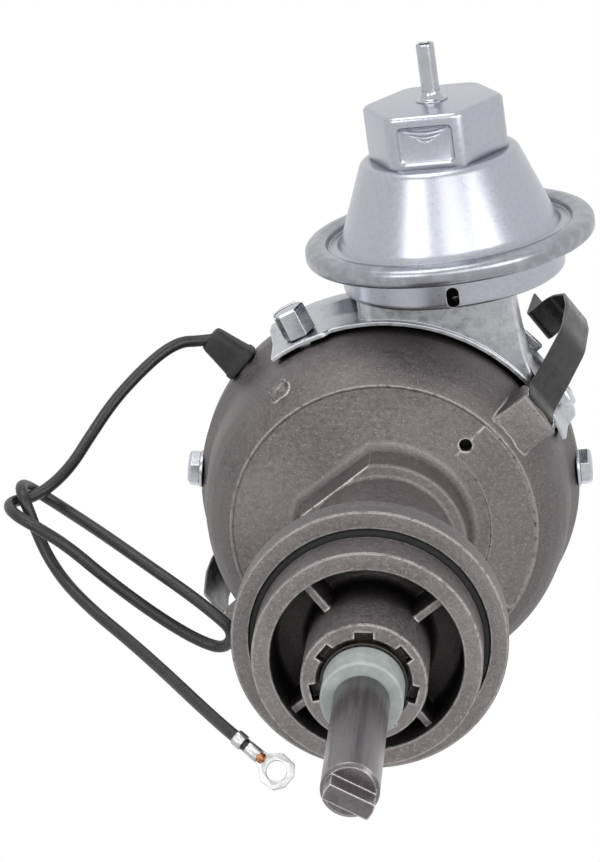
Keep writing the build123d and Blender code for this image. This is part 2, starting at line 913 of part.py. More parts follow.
def moving_breaker_plate():
    plate = tube(moving_plate_radius, bearing_radius + pin_gap, moving_plate_low, moving_plate_high)
    plate -= post(rod_pin_radius, can_x, rod_pin_y, fixed_plate_low, cap_seat)
    for x, y in ((lock_screw_x, lock_screw_y), (condenser_screw_x, condenser_screw_y)):
        plate -= post(small_screw_radius, x, y, fixed_plate_low, cap_seat)
    return plate


def rod_pin():
    pin = post(rod_pin_radius, can_x, rod_pin_y, moving_plate_low, rod_high + seat_gap)
    head_low = rod_high + seat_gap
    head_radius = rod_pin_radius + rod_pin_head
    return pin + post(head_radius, can_x, rod_pin_y, head_low, head_low + rod_thickness / 2)


# Breaker contacts

def contact_base():
    half = contact_base_half
    base = block(contact_base_outer, contact_base_inner, -half, half, moving_plate_high, base_high)
    base -= disc(plate_ring_radius + rod_thickness, fixed_plate_low, cap_seat)
    return base - post(small_screw_radius, lock_screw_x, lock_screw_y, fixed_plate_low, cap_seat)


def contact_support():
    half = contact_post_width / 2
    post_face = arm_inner + 2 * contact_thickness + contact_gap
    foot_end = post_face + contact_post_thickness
    foot = block(contact_base_outer, foot_end, contact_y - half, contact_y + half, base_high, foot_high)
    foot -= post(small_screw_radius, lock_screw_x, lock_screw_y, fixed_plate_low, cap_seat)
    return foot + block(post_face, foot_end, contact_y - half, contact_y + half, base_high, arm_high)


def contact_button(face):
    return Pos(face + contact_thickness / 2, contact_y, contact_height) * (
        Rot(0, 90, 0) * Cylinder(contact_radius, contact_thickness)
    )


def pivot_post():
    shoulder = post(arm_eye_radius, arm_pivot_x, arm_pivot_y, base_high, arm_low - pin_gap)
    return shoulder + post(arm_pivot_radius, arm_pivot_x, arm_pivot_y, base_high, arm_high + swing_gap)


def breaker_arm():
    end = contact_y - contact_radius
    arm = block(arm_outer, arm_inner, end, arm_pivot_y, arm_low, arm_high)
    arm += post(arm_eye_radius, arm_pivot_x, arm_pivot_y, arm_low, arm_high)
    return arm - post(arm_pivot_radius + pin_gap, arm_pivot_x, arm_pivot_y, base_high, cap_seat + arm_high)


def rubbing_block():
    half = block_width / 2
    shape = Pos((arm_inner + block_tip) / 2, 0) * Rectangle(block_length, block_width)
    nose = [corner for corner in shape.vertices() if corner.X > arm_inner + half]
    return Pos(0, 0, arm_low) * extrude(fillet(nose, block_nose), arm_high - arm_low)


def breaker_spring():
    terminal_face = terminal_x + terminal_size / 2 + leaf_thickness / 2
    arm_face = arm_outer - leaf_thickness / 2
    line = FilletPolyline(
        (terminal_face, terminal_y - terminal_size / 2),
        (terminal_face, terminal_y + terminal_size / 2),
        (arm_face, leaf_turn_y),
        (arm_face, arm_pivot_y - arm_eye_radius - leaf_thickness),
        radius=leaf_round,
    )
    leaf = extrude(trace(line, leaf_thickness), arm_high - arm_low - 2 * leaf_inset)
    return Pos(0, 0, arm_low + leaf_inset) * leaf


def contact_terminal():
    half = terminal_size / 2
    body = Pos(terminal_x, terminal_y, 0) * block(-half, half, -half, half, base_high, terminal_top)
    return body - post(terminal_stud_radius, terminal_x, terminal_y, base_high, terminal_top + cut_over)


def terminal_screw():
    seat = terminal_top + 2 * lug_plate_thickness
    stud = post(terminal_stud_radius, terminal_x, terminal_y, base_high, seat)
    head = RegularPolygon(terminal_nut_radius, 6)
    return stud + Pos(terminal_x, terminal_y, seat) * extrude(head, terminal_stud_radius)


def condenser():
    can = Rot(0, 90, 0) * Cylinder(condenser_radius, condenser_length)
    can = chamfer(can.edges().filter_by(GeomType.CIRCLE), condenser_chamfer)
    return Pos(condenser_x, condenser_y, condenser_height) * can


def condenser_strap():
    """A band round the can, with a foot that the screw holds down."""
    half = condenser_strap_width / 2
    left = condenser_screw_x - half
    right = condenser_screw_x + half
    outer = condenser_radius + condenser_strap_thickness
    band = Rot(0, 90, 0) * tube(outer, condenser_radius, -half, half)
    strap = Pos(condenser_screw_x, condenser_y, condenser_height) * band
    foot_low = condenser_screw_y - condenser_foot_edge
    foot_high = condenser_y - condenser_foot_overlap
    strap += block(left, right, foot_low, foot_high, moving_plate_high, strap_high)
    return strap - post(small_screw_radius, condenser_screw_x, condenser_screw_y, fixed_plate_low, cap_seat)


def inner_lead(points, lug_low):
    """A thin insulated lead with a small ring lug under the terminal's screw."""
    lug_high = lug_low + lug_plate_thickness
    lug = post(lug_plate_radius, terminal_x, terminal_y, lug_low, lug_high)
    lug -= post(terminal_stud_radius, terminal_x, terminal_y, lug_low - cut_over, lug_high + cut_over)
    end_x, end_y, _ = points[-1]
    turn = math.degrees(math.atan2(end_y - terminal_y, end_x - terminal_x))
    reach = math.dist((end_x, end_y), (terminal_x, terminal_y))
    half = inner_lead_radius
    tail = block(lug_plate_radius - lug_plate_thickness, reach, -half, half, lug_low, lug_high)
    lead, path = round_rod(points, inner_lead_radius)
    return lead + lug + Pos(terminal_x, terminal_y, 0) * (around(turn) * tail)


grommet_inner_face = bowl_bore - seat_gap - grommet_inner_thickness
grommet_x, grommet_y = polar(grommet_inner_face, grommet_angle)
primary_route = [
    (grommet_x, grommet_y, grommet_height),
    (-26.6, -29.0, 105.6),
    (-26.8, -25.5, 106.8),
    (-29.2, -19.5, 108.2),
    (-31.6, -13.0, 108.9),
    (-31.8, -9.3, 108.7),
    (-30.6, -6.7, terminal_top + lug_plate_thickness / 2),
]
condenser_route = [
    (condenser_x - condenser_length / 2, condenser_y, condenser_height),
    (-8.0, condenser_y, condenser_height),
    (-15.0, 27.7, 108.0),
    (-22.0, 25.0, 109.0),
    (-28.0, 18.0, 109.3),
    (-32.0, 9.0, 109.2),
    (-32.6, 3.0, 109.0),
    (-30.9, -0.7, terminal_top + 1.5 * lug_plate_thickness),
]


def plate_screw(angle):
    seat = plate_spot_seat + plate_washer_thickness
    length = seat - fixed_plate_radius + lug_thickness + cut_over / 2
    bolt = screw(plate_screw_head, plate_screw_head_height, plate_screw_radius, length)
    return around(angle) * (Pos(seat, 0, plate_screw_height) * bolt)


def plate_screw_washer(angle):
    end = plate_spot_seat + plate_washer_thickness
    washer = radial_bar(plate_washer_radius, plate_spot_seat, end, angle, plate_screw_height)
    hole = plate_screw_radius + seat_gap
    return washer - radial_bar(hole, plate_spot_seat - cut_over, end + cut_over, angle, plate_screw_height)


# Vacuum unit and its bracket

def vacuum_bracket():
    gap = seat_gap
    low_radius = bowl_side_radius + wall_slope * (bracket_low - bowl_side_height) + gap
    inner = [
        (low_radius, bracket_low),
        (bowl_waist_radius + gap, bowl_waist_height),
        (rim_radius + gap, rim_low),
        (rim_radius + gap, bracket_top),
    ]
    outer = [(radius + bracket_thickness, height) for radius, height in reversed(inner)]
    saddle = around(bracket_start) * turned(inner + outer, bracket_end - bracket_start)
    foot = bowl_bulge_height
    inside = turned([(0, foot), (low_radius, foot)] + inner + [(0, bracket_top)])
    under = turned([(0, foot), (outer[3][0], foot)] + outer[::-1] + [(0, bracket_top)])
    wall = bracket_neck_wall
    neck = neck_box(0) - neck_box(wall)
    neck += (neck_box(0) & under) - inside
    tab = around(bracket_tab_start) * turned(
        [
            (rim_radius + gap, bracket_tab_low),
            (outer[0][0] + bracket_tab_reach, bracket_tab_low),
            (outer[0][0] + bracket_tab_reach, bracket_top),
            (rim_radius + gap, bracket_top),
        ],
        bracket_tab_end - bracket_tab_start,
    )
    bracket = saddle + (neck - inside) + tab - rod_window(can_back - cut_over)
    for angle, height in zip(bracket_screw_angles, bracket_screw_heights):
        outside = rim_radius + 2 * bracket_thickness
        bracket -= radial_bar(bracket_screw_radius + gap, bowl_bore, outside, angle, height)
    return bracket


def neck_box(wall):
    """The bracket's neck as a rounded bar from inside the bowl to the can, smaller by a wall all round."""
    width = bracket_neck_right - bracket_neck_left - 2 * wall
    height = bracket_neck_high - bracket_neck_low - 2 * wall
    middle_x = (bracket_neck_left + bracket_neck_right) / 2
    middle_z = (bracket_neck_low + bracket_neck_high) / 2
    shape = RectangleRounded(width, height, bracket_neck_round - wall / 2)
    length = can_back - bowl_bore / 2
    return Pos(middle_x, -bowl_bore / 2, middle_z) * (Rot(90, 0, 0) * extrude(shape, length))


def bracket_screws():
    screws = []
    for angle, height, head in zip(bracket_screw_angles, bracket_screw_heights, bracket_screw_heads):
        top = height + bracket_screw_flats / 2
        rise = (rim_radius - bowl_waist_radius) / (rim_low - bowl_waist_height)
        surface = bowl_waist_radius + max(0.0, top - bowl_waist_height) * rise
        seat = surface + 2 * seat_gap + bracket_thickness
        length = seat - bowl_bore - seat_gap
        bolt = screw(bracket_screw_flats, head, bracket_screw_radius, length)
        screws.append(around(angle) * (Pos(seat, 0, height) * bolt))
    return group(screws)


def can_lower_shell():
    inner = can_shell_radius - can_wall
    shell = turned([
        (can_rod_hole, can_back),
        (can_shell_radius - can_wall, can_back),
        (can_shell_radius, can_back + can_wall),
        (can_shell_radius, can_seam - can_wall),
        (can_lip_radius, can_seam - can_wall),
        (can_lip_radius, can_seam),
        (inner, can_seam),
        (inner, can_back + can_wall),
        (can_rod_hole, can_back + can_wall),
    ])
    vent = Pos(0, 0, vent_place) * (Rot(90, 0, 0) * Cylinder(vent_radius, 2 * can_shell_radius))
    below = block(-can_shell_radius, can_shell_radius, -2 * can_shell_radius, 0, can_back, can_seam)
    return on_can(shell - (vent & below))


def can_upper_shell():
    wall = can_wall
    crimp_low = can_seam - 2 * wall
    crimp_high = lip_outside + 2 * wall
    inner_foot = cone_foot_radius - wall
    shell = turned([
        (can_lip_radius, lip_outside),
        (inner_foot + wall, lip_outside),
        (inner_foot, lip_outside + wall),
        (inner_foot, cone_foot),
        (cone_top_radius - wall, cone_top - wall),
        (cone_mouth, cone_top - wall),
        (cone_mouth, cone_top),
        (cone_top_radius, cone_top),
        (cone_foot_radius, cone_foot),
        (cone_foot_radius + wall, lip_outside + wall + channel_depth),
        (crimp_inner, lip_outside + wall + channel_depth),
        (crimp_inner + wall, crimp_high),
        (crimp_radius - crimp_round, crimp_high),
        (crimp_radius, crimp_high - crimp_round),
        (crimp_radius, crimp_low + crimp_round),
        (crimp_radius - crimp_round, crimp_low),
        (crimp_inner, crimp_low),
        (crimp_inner, can_seam - wall),
        (can_lip_radius, can_seam - wall),
    ])
    return on_can(shell)


def can_hex_cap():
    corners = RegularPolygon(hex_flats / 2, 6, major_radius=False, rotation=hex_turn)
    shape = fillet(corners.vertices(), hex_corner_round)
    cap = Pos(0, 0, cone_top) * extrude(shape, hex_top - cone_top)
    cap = fillet(cap.faces().sort_by(Axis.Z)[-1].edges(), hex_top_round)
    cap -= disc(hex_bore, cone_top - cut_over, hex_ceiling)
    cap -= disc(nipple_radius, cone_top, hex_top + cut_over)
    face = -hex_flats / 2
    half = recess_width / 2
    recess = block(-half, half, face - cut_over, face + recess_depth, recess_low, recess_high)
    cap -= around(hex_turn) * recess
    return on_can(cap)


def can_nipple():
    flare = nipple_flare - nipple_radius
    body = turned([
        (nipple_bore, hex_ceiling),
        (nipple_radius, hex_ceiling),
        (nipple_radius, hex_top),
        (nipple_flare, hex_top),
        (nipple_radius, hex_top + flare),
        (nipple_radius, nipple_tip),
        (nipple_bore, nipple_tip),
    ])
    return on_can(body)


def diaphragm_cup():
    wall = can_wall
    top = cup_seat + diaphragm_cup_height
    cup = turned([
        (rod_stud_radius, cup_seat),
        (diaphragm_cup_radius, cup_seat),
        (diaphragm_cup_radius, top),
        (diaphragm_cup_radius - wall, top),
        (diaphragm_cup_radius - wall, cup_seat + wall),
        (rod_stud_radius, cup_seat + wall),
    ])
    return on_can(cup)


def diaphragm():
    sheet = tube(can_lip_radius, rod_stud_radius, can_seam, lip_outside)
    return on_can(sheet + tube(diaphragm_cup_radius, rod_stud_radius, lip_outside, cup_seat))


def vacuum_spring():
    seat = cup_seat + can_wall
    length = hex_ceiling - seat - 2 * vacuum_spring_wire
    spring = coil(vacuum_spring_radius, vacuum_spring_wire, vacuum_spring_turns, length)
    return on_can(Pos(0, 0, seat + vacuum_spring_wire) * spring)


def vacuum_rod():
    half = rod_width / 2
    rod = block(can_x - half, can_x + half, -can_seam, rod_pin_y, rod_low, rod_high)
    hole = rod_pin_radius + rod_slot_gap
    reach_y = rod_pin_y + rod_pin_radius + rod_end_edge
    rod += block(rod_end_left, can_x + half, -rod_end_reach, reach_y, rod_low, rod_high)
    travel = can_x - pin_at_full_swing[0]
    slot_length = travel + 2 * hole
    slot = extrude(SlotOverall(slot_length, 2 * hole), rod_thickness + 2 * cut_over)
    rod -= Pos(can_x - travel / 2, rod_pin_y, rod_low - cut_over) * slot
    return rod + on_can(disc(rod_stud_radius, can_seam, cup_seat + can_wall))


# Cap clips

def clip_pin(extra):
    pin = Rot(90, 0, 0) * Cylinder(clip_pin_radius, clip_ear_width + extra)
    return Pos(clip_pin_place, 0, clip_pin_height) * pin


def cap_clip(angle):
    points = [(clip_pin_place + out, 0, clip_pin_height + up) for out, up in clip_line]
    line = FilletPolyline(*points, radius=clip_bends)
    across = Plane(origin=line @ 0, x_dir=(0, 1, 0), z_dir=line % 0)
    section = across * Rectangle(clip_width, clip_thickness)
    strap = sweep(section, path=line)
    eye = Rot(90, 0, 0) * Cylinder(clip_eye_radius, clip_width)
    clip = strap + Pos(clip_pin_place, 0, clip_pin_height) * eye
    clip -= Pos(clip_pin_place, 0, clip_pin_height) * (
        Rot(90, 0, 0) * Cylinder(clip_pin_radius + pin_gap, 2 * clip_width)
    )
    return around(angle) * clip


# Lead wire

def grommet():
    start = rim_radius + pin_gap
    corner = grommet_corner
    base = Plane.YZ.offset(start) * RectangleRounded(grommet_base_width, grommet_base_tall, corner)
    tip = Plane.YZ.offset(grommet_reach) * RectangleRounded(grommet_tip_width, grommet_tip_tall, corner)
    boot = around(grommet_angle) * (Pos(0, 0, grommet_height) * loft([base, tip]))
    inner = bowl_bore - seat_gap - grommet_inner_thickness
    boot += radial_bar(grommet_neck_radius, inner, start, grommet_angle, grommet_height)
    flange = radial_bar(grommet_inner_radius, inner, bowl_bore - seat_gap, grommet_angle, grommet_height)
    return boot + (flange & disc(bowl_bore - seat_gap, fixed_plate_high, rim_top))


def lead_terminal():
    """A ring terminal: its plate, then the sleeve that is crimped on the wire."""
    centre = Vector(*terminal_centre)
    end = Vector(*route[-1])
    along = (centre - end).normalized()
    side = Vector(*terminal_normal).cross(along).normalized()
    normal = along.cross(side)
    reach = (centre - end).length
    plate_frame = Plane(origin=centre, x_dir=along, z_dir=normal)
    half = terminal_plate_thickness / 2
    neck = Pos(-reach / 2, 0) * Rectangle(reach, terminal_neck_width)
    plate = extrude(plate_frame * (Circle(terminal_plate_radius) + neck), half, both=True)
    plate -= plate_frame * Cylinder(terminal_hole, 4 * half)
    run = (end - Vector(*route[-2])).normalized()
    crimp = extrude(Plane(origin=end, z_dir=run) * Circle(crimp_sleeve_radius), crimp_sleeve_length / 2)
    return plate + crimp


def node_shapes():
    """Every piece by the name of its node."""
    shapes = {
        "housing": housing(),
        "lower_bushing": tube(bushing_radius, shaft_bore, washer_high, lower_bushing_high),
        "upper_bushing": tube(bushing_radius, shaft_bore, upper_bushing_low, upper_bushing_high),
        "pilot_seal_ring": Pos(0, 0, seal_ring_height) * Torus(pilot_radius, seal_ring_section),
        "hub_thrust_washer": tube(thrust_washer_radius, shaft_bore, washer_low, washer_high),
        "top_thrust_washer": tube(top_washer_radius, shaft_bore, upper_bushing_high, top_washer_high),
        "drive_shaft": drive_shaft(),
        "shaft_collar": shaft_collar(),
        "collar_pin": collar_pin(),
        "governor_plate": governor_plate(),
        "weight_pins": weight_pins(),
        "weight_one": weight(weight_pivot_angle),
        "weight_two": weight(weight_pivot_angle + 180),
        "governor_springs": governor_springs(),
        "cam_yoke": cam_yoke(),
        "cam_sleeve": cam_sleeve(),
        "cam_ring": tube(cam_ring_radius, spindle_groove_radius, ring_low, ring_low + cam_ring_thickness),
        "cam_wick": disc(sleeve_counterbore, wick_low, wick_low + wick_length),
        "fixed_breaker_plate": fixed_breaker_plate(),
        "plate_bearing": plate_bearing(),
        "plate_pads": plate_pads(),
        "plate_ring": tube(plate_ring_radius, bearing_bore, bearing_high, plate_ring_high),
        "moving_breaker_plate": moving_breaker_plate(),
        "rod_pin": rod_pin(),
        "contact_base": contact_base(),
        "contact_support": contact_support(),
        "lock_screw": upright_screw(lock_screw_x, lock_screw_y, foot_high),
        "fixed_contact": contact_button(arm_inner + contact_thickness + contact_gap),
        "moving_contact": contact_button(arm_inner),
        "pivot_post": pivot_post(),
        "breaker_arm": breaker_arm(),
        "rubbing_block": rubbing_block(),
        "breaker_spring": breaker_spring(),
        "contact_terminal": contact_terminal(),
        "terminal_screw": terminal_screw(),
        "condenser": condenser(),
        "condenser_strap": condenser_strap(),
        "condenser_screw": upright_screw(condenser_screw_x, condenser_screw_y, strap_high),
        "condenser_lead": inner_lead(condenser_route, terminal_top + lug_plate_thickness),
        "primary_lead": inner_lead(primary_route, terminal_top),
        "plate_screws": group(plate_screw(angle) for angle in plate_screw_angles),
        "plate_screw_washers": group(plate_screw_washer(angle) for angle in plate_screw_angles),
        "vacuum_bracket": vacuum_bracket(),
        "bracket_screws": bracket_screws(),
        "can_lower_shell": can_lower_shell(),
        "can_upper_shell": can_upper_shell(),
        "can_hex_cap": can_hex_cap(),
        "can_nipple": can_nipple(),
        "diaphragm": diaphragm(),
        "diaphragm_cup": diaphragm_cup(),
        "vacuum_spring": vacuum_spring(),
        "vacuum_rod": vacuum_rod(),
        "cap_clip_one": cap_clip(clip_angles[0]),
        "cap_clip_two": cap_clip(clip_angles[1]),
        "clip_pins": group(around(angle) * clip_pin(0) for angle in clip_angles),
        "grommet": grommet(),
        "lead_terminal": lead_terminal(),
    }
    return shapes


os.makedirs("parts", exist_ok=True)
for name, shape in node_shapes().items():
    export_step(shape, "parts/" + name + ".step")
wire, wire_path = round_rod(route, wire_radius)
export_step(wire, "parts/lead_wire.step")
print("wire arc radii", [round(radius, 1) for radius in arc_radii(route)])
print("wire length", round(wire_path.length, 1))
print("wire volume", round(wire.volume, 1))
print("section times length", round(math.pi * wire_radius**2 * wire_path.length, 1))
print("rod travel", round(rod_pin_y - pin_at_full_swing[1], 3))
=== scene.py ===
import bmesh
import bpy
import math

from math import cos, pi, radians, sin
from mathutils import Matrix, Vector, noise


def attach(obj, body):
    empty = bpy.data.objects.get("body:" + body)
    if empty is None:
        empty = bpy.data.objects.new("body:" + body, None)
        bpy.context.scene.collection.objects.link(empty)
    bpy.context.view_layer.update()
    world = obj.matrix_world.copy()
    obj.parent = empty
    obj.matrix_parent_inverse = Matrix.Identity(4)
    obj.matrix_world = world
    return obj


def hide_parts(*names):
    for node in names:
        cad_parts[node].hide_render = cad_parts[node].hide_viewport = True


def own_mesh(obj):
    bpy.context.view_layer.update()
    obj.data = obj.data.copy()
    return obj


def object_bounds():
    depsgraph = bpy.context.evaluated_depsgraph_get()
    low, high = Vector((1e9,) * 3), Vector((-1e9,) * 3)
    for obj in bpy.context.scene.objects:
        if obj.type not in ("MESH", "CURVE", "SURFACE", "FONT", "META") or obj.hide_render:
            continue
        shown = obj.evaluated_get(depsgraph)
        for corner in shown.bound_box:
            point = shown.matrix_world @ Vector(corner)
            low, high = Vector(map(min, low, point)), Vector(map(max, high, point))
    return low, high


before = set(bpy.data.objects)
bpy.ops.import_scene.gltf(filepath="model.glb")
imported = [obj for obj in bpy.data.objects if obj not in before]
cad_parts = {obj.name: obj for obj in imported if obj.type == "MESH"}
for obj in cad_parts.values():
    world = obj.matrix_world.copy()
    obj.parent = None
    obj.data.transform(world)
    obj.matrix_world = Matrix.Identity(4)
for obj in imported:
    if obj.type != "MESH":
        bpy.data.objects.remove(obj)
cadLow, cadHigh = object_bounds()
mm = 0.001  # sizes below are in millimetres and degrees, as they are in the part's source
print("frame loaded:", len(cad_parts), "nodes")


def addObject(name, data):
    added = bpy.data.objects.new(name, data)
    bpy.context.scene.collection.objects.link(added)
    return added


# Camera, at the photograph's place under the drive end

camera = {
    "place": (74.643, -289.527, -679.469),
    "azimuth": 19.421,
    "elevation": -69.758,
    "roll": 12.0715,
    "lens": 133.64,
    "sensor": 36.0,
    "clip": (0.01, 50),  # metres
}


def makeCamera(settings):
    turn = radians(settings["azimuth"])
    rise = radians(settings["elevation"])
    roll = radians(settings["roll"])
    back = Vector((sin(turn) * cos(rise), -cos(turn) * cos(rise), sin(rise)))
    side = Vector((0, 0, 1)).cross(back).normalized()
    up = back.cross(side)
    rolledSide = cos(roll) * side + sin(roll) * up
    rolledUp = cos(roll) * up - sin(roll) * side
    data = bpy.data.cameras.new("photoCamera")
    data.lens = settings["lens"]
    data.sensor_width = settings["sensor"]
    data.clip_start, data.clip_end = settings["clip"]
    holder = addObject("photoCamera", data)
    holder.matrix_world = Matrix((rolledSide, rolledUp, back)).transposed().to_4x4()
    holder.location = Vector(settings["place"]) * mm
    bpy.context.scene.camera = holder
    return rolledSide, rolledUp, back


viewSide, viewUp, viewBack = makeCamera(camera)


# Lead wire: the same route as in the part's source

wire = {
    "diameter": 3.0,
    "length": 340,
    "roundness": 6,
    "smoothness": 8,
    "route": [
        (-40.7, -44.3, 105.0), (-44.6, -44.4, 104.6), (-48.3, -45.2, 103.2), (-53.1, -44.0, 100.4),
        (-59.5, -40.3, 96.0), (-66.5, -35.1, 90.5), (-72.5, -29.0, 83.4), (-76.9, -24.6, 74.6),
        (-81.9, -22.1, 67.0), (-87.1, -20.8, 64.2), (-90.7, -21.1, 63.0), (-91.3, -21.3, 58.6),
        (-88.4, -20.7, 53.0), (-83.1, -18.2, 50.0), (-76.3, -12.7, 49.4), (-68.4, -3.9, 48.6),
        (-59.5, 4.7, 47.4), (-51.5, 11.0, 45.6), (-45.3, 14.6, 43.8), (-41.0, 15.6, 42.2),
        (-37.9, 12.9, 39.6), (-37.4, 9.1, 38.2), (-40.6, 6.0, 39.8), (-47.1, 1.7, 44.6),
        (-57.1, -4.1, 51.5), (-68.8, -10.5, 60.4), (-78.5, -14.9, 68.4), (-84.4, -17.5, 73.2),
        (-87.4, -21.0, 71.4), (-88.5, -24.3, 66.0), (-87.7, -24.3, 60.2), (-86.3, -21.0, 57.8),
        (-85.1, -15.6, 56.8), (-82.8, -8.7, 54.5), (-78.3, -2.7, 49.5), (-70.9, 2.3, 41.5),
        (-61.5, 6.5, 31.0), (-51.8, 10.5, 18.5), (-42.9, 13.7, 5.5), (-37.0, 15.3, -3.5),
        (-33.6, 16.1, -8.6), (-31.4, 16.9, -11.2),
    ],
}


def makeWire(settings):
    curve = bpy.data.curves.new("leadWire", "CURVE")
    curve.dimensions = "3D"
    curve.bevel_depth = settings["diameter"] / 2 * mm
    curve.bevel_resolution = settings["roundness"]
    curve.resolution_u = settings["smoothness"]
    curve.use_fill_caps = True
    line = curve.splines.new("NURBS")
    line.points.add(len(settings["route"]) - 1)
    for point, place in zip(line.points, settings["route"]):
        point.co = (*(Vector(place) * mm), 1)
    line.order_u = 3
    line.use_endpoint_u = True
    return addObject("leadWire", curve)


leadWire = makeWire(wire)
print("camera and wire made")


# Tools for meshes

canAxis = {"x": 24.0, "z": 103.0}  # the vacuum unit's own axis runs along -Y, beside the shaft
weldDistance = 0.001
roundingStep = 12  # degrees between two points of a rounded corner
barSteps = 48  # points round a hole or a round bar


def onShaft(x, y, z):
    return Vector((x, y, z)) * mm


def onCan(x, y, z):
    return Vector((canAxis["x"] + x, -z, canAxis["z"] + y)) * mm


def addMesh(name, points, faces, place=onShaft):
    mesh = bpy.data.meshes.new(name)
    mesh.from_pydata([place(*p) for p in points], [], faces)
    work = bmesh.new()
    work.from_mesh(mesh)
    bmesh.ops.remove_doubles(work, verts=work.verts, dist=weldDistance * mm)
    bmesh.ops.recalc_face_normals(work, faces=work.faces)
    alone = [edge for edge in work.edges if not edge.link_faces]
    bmesh.ops.delete(work, geom=alone, context="EDGES")
    work.to_mesh(mesh)
    work.free()
    return addObject(name, mesh)


def softCorners(points, closed=True):
    # each point is (x, y) or (x, y, radius of its rounding)
    line = []
    for k, point in enumerate(points):
        here = Vector(point[:2])
        atEnd = not closed and k in (0, len(points) - 1)
        if len(point) < 3 or atEnd:
            line.append((here.x, here.y))
            continue
        before = (Vector(points[k - 1][:2]) - here).normalized()
        after = (Vector(points[(k + 1) % len(points)][:2]) - here).normalized()
        half = before.angle(after) / 2
        centre = here + (before + after).normalized() * (point[2] / sin(half))
        start = here + before * (point[2] / math.tan(half)) - centre
        end = here + after * (point[2] / math.tan(half)) - centre
        sweep = start.angle_signed(end)
        steps = max(2, math.ceil(abs(sweep) / radians(roundingStep) - 0.01))  # not one more by a hair
        for step in range(steps + 1):
            spoke = start.copy()
            spoke.rotate(Matrix.Rotation(-sweep * step / steps, 2))
            line.append((centre.x + spoke.x, centre.y + spoke.y))
    return line


def turnedPiece(name, outline, steps, place=onShaft):
    # a closed outline of (radius, height) turned round the axis
    points = []
    faces = []
    count = len(outline)
    for k in range(steps):
        turn = 2 * pi * k / steps
        for radius, height in outline:
            points.append((radius * cos(turn), radius * sin(turn), height))
    for k in range(steps):
        first = k * count
        second = (k + 1) % steps * count
        for i in range(count):
            j = (i + 1) % count
            faces.append((first + i, first + j, second + j, second + i))
    return addMesh(name, points, faces, place)


def loftedPiece(name, rings, place=onShaft):
    # rings of equally many points, joined one to the next and closed at both ends
    points = [p for ring in rings for p in ring]
    count = len(rings[0])
    faces = []
    for k in range(len(rings) - 1):
        for i in range(count):
            j = (i + 1) % count
            faces.append((k * count + i, k * count + j, (k + 1) * count + j, (k + 1) * count + i))
    faces.append(tuple(range(count)))
    faces.append(tuple(range((len(rings) - 1) * count, len(rings) * count)))
    return addMesh(name, points, faces, place)


def barPiece(name, outline, low, high, place=onShaft):
    # an outline of (x, y), closed, drawn up from low to high
    return loftedPiece(name, [[(x, y, low) for x, y in outline], [(x, y, high) for x, y in outline]], place)


def boxOutline(left, right, front, back, radius=None):
    corners = [(left, front), (right, front), (right, back), (left, back)]
    if radius is None:
        return corners
    return softCorners([(*corner, radius) for corner in corners])


def turnedBy(angle, shift=(0, 0, 0)):
    turn = Matrix.Rotation(radians(angle), 4, "Z") @ Matrix.Translation(Vector(shift))

    def place(x, y, z):
        return (turn @ Vector((x, y, z))) * mm
    return place


def outward(angle, height, radius=0):
    # local Z points away from the shaft axis, local Y up
    turn = Matrix.Rotation(radians(angle), 4, "Z")

    def place(x, y, z):
        return (turn @ Vector((radius + z, x, height + y))) * mm
    return place


def combine(piece, tools, operation="DIFFERENCE", crossing=False):
    # one boolean with several bodies, which are then removed; crossing means that they meet each other
    work = bmesh.new()
    for tool in tools:
        work.from_mesh(tool.data)
    joined = bpy.data.meshes.new("tools")
    work.to_mesh(joined)
    work.free()
    holder = addObject("tools", joined)
    change = piece.modifiers.new("combine", "BOOLEAN")
    change.operation = operation
    change.solver = "EXACT"
    change.use_self = crossing
    change.object = holder
    bake(piece)
    for tool in [*tools, holder]:
        bpy.data.objects.remove(tool)


def bake(piece):
    # modifiers become the mesh itself
    seen = bpy.context.evaluated_depsgraph_get()
    piece.data = bpy.data.meshes.new_from_object(piece.evaluated_get(seen))
    piece.modifiers.clear()


def roundEdges(piece, width, angle=35, segments=3):
    bevel = piece.modifiers.new("roundEdges", "BEVEL")
    bevel.width = width * mm
    bevel.segments = segments
    bevel.limit_method = "ANGLE"
    bevel.angle_limit = radians(angle)
    bevel.use_clamp_overlap = True
    bevel.harden_normals = False
    bake(piece)


def smooth(piece, angle):
    piece.data.shade_smooth()
    piece.data.set_sharp_from_angle(angle=radians(angle))


def circlePoints(radius, steps):
    turns = [2 * pi * k / steps for k in range(steps)]
    return [(radius * cos(turn), radius * sin(turn)) for turn in turns]


def turnedPoint(x, y, angle):
    turn = radians(angle)
    return x * cos(turn) - y * sin(turn), x * sin(turn) + y * cos(turn)


def arcPoints(radius, start, end, steps):
    turns = [radians(start + (end - start) * k / steps) for k in range(steps + 1)]
    return [(radius * cos(turn), radius * sin(turn)) for turn in turns]


def roundBar(radius, low, high, place):
    return barPiece("bar", circlePoints(radius, barSteps), low, high, place)


def roughened(piece, cuts, depth, size, seed):
    # small uneven moves, as on an edge left from the mould
    work = bmesh.new()
    work.from_mesh(piece.data)
    bmesh.ops.subdivide_edges(work, edges=work.edges, cuts=cuts, use_grid_fill=True)
    work.normal_update()
    for corner in work.verts:
        spot = corner.co / (size * mm) + Vector((seed, 0, 0))
        corner.co += corner.normal * noise.noise(spot) * depth * mm
    work.to_mesh(piece.data)
    work.free()


def joinPieces(name, pieces):
    work = bmesh.new()
    for piece in pieces:
        work.from_mesh(piece.data)
    mesh = bpy.data.meshes.new(name)
    work.to_mesh(mesh)
    work.free()
    for piece in pieces:
        bpy.data.objects.remove(piece)
    return addObject(name, mesh)


# Materials

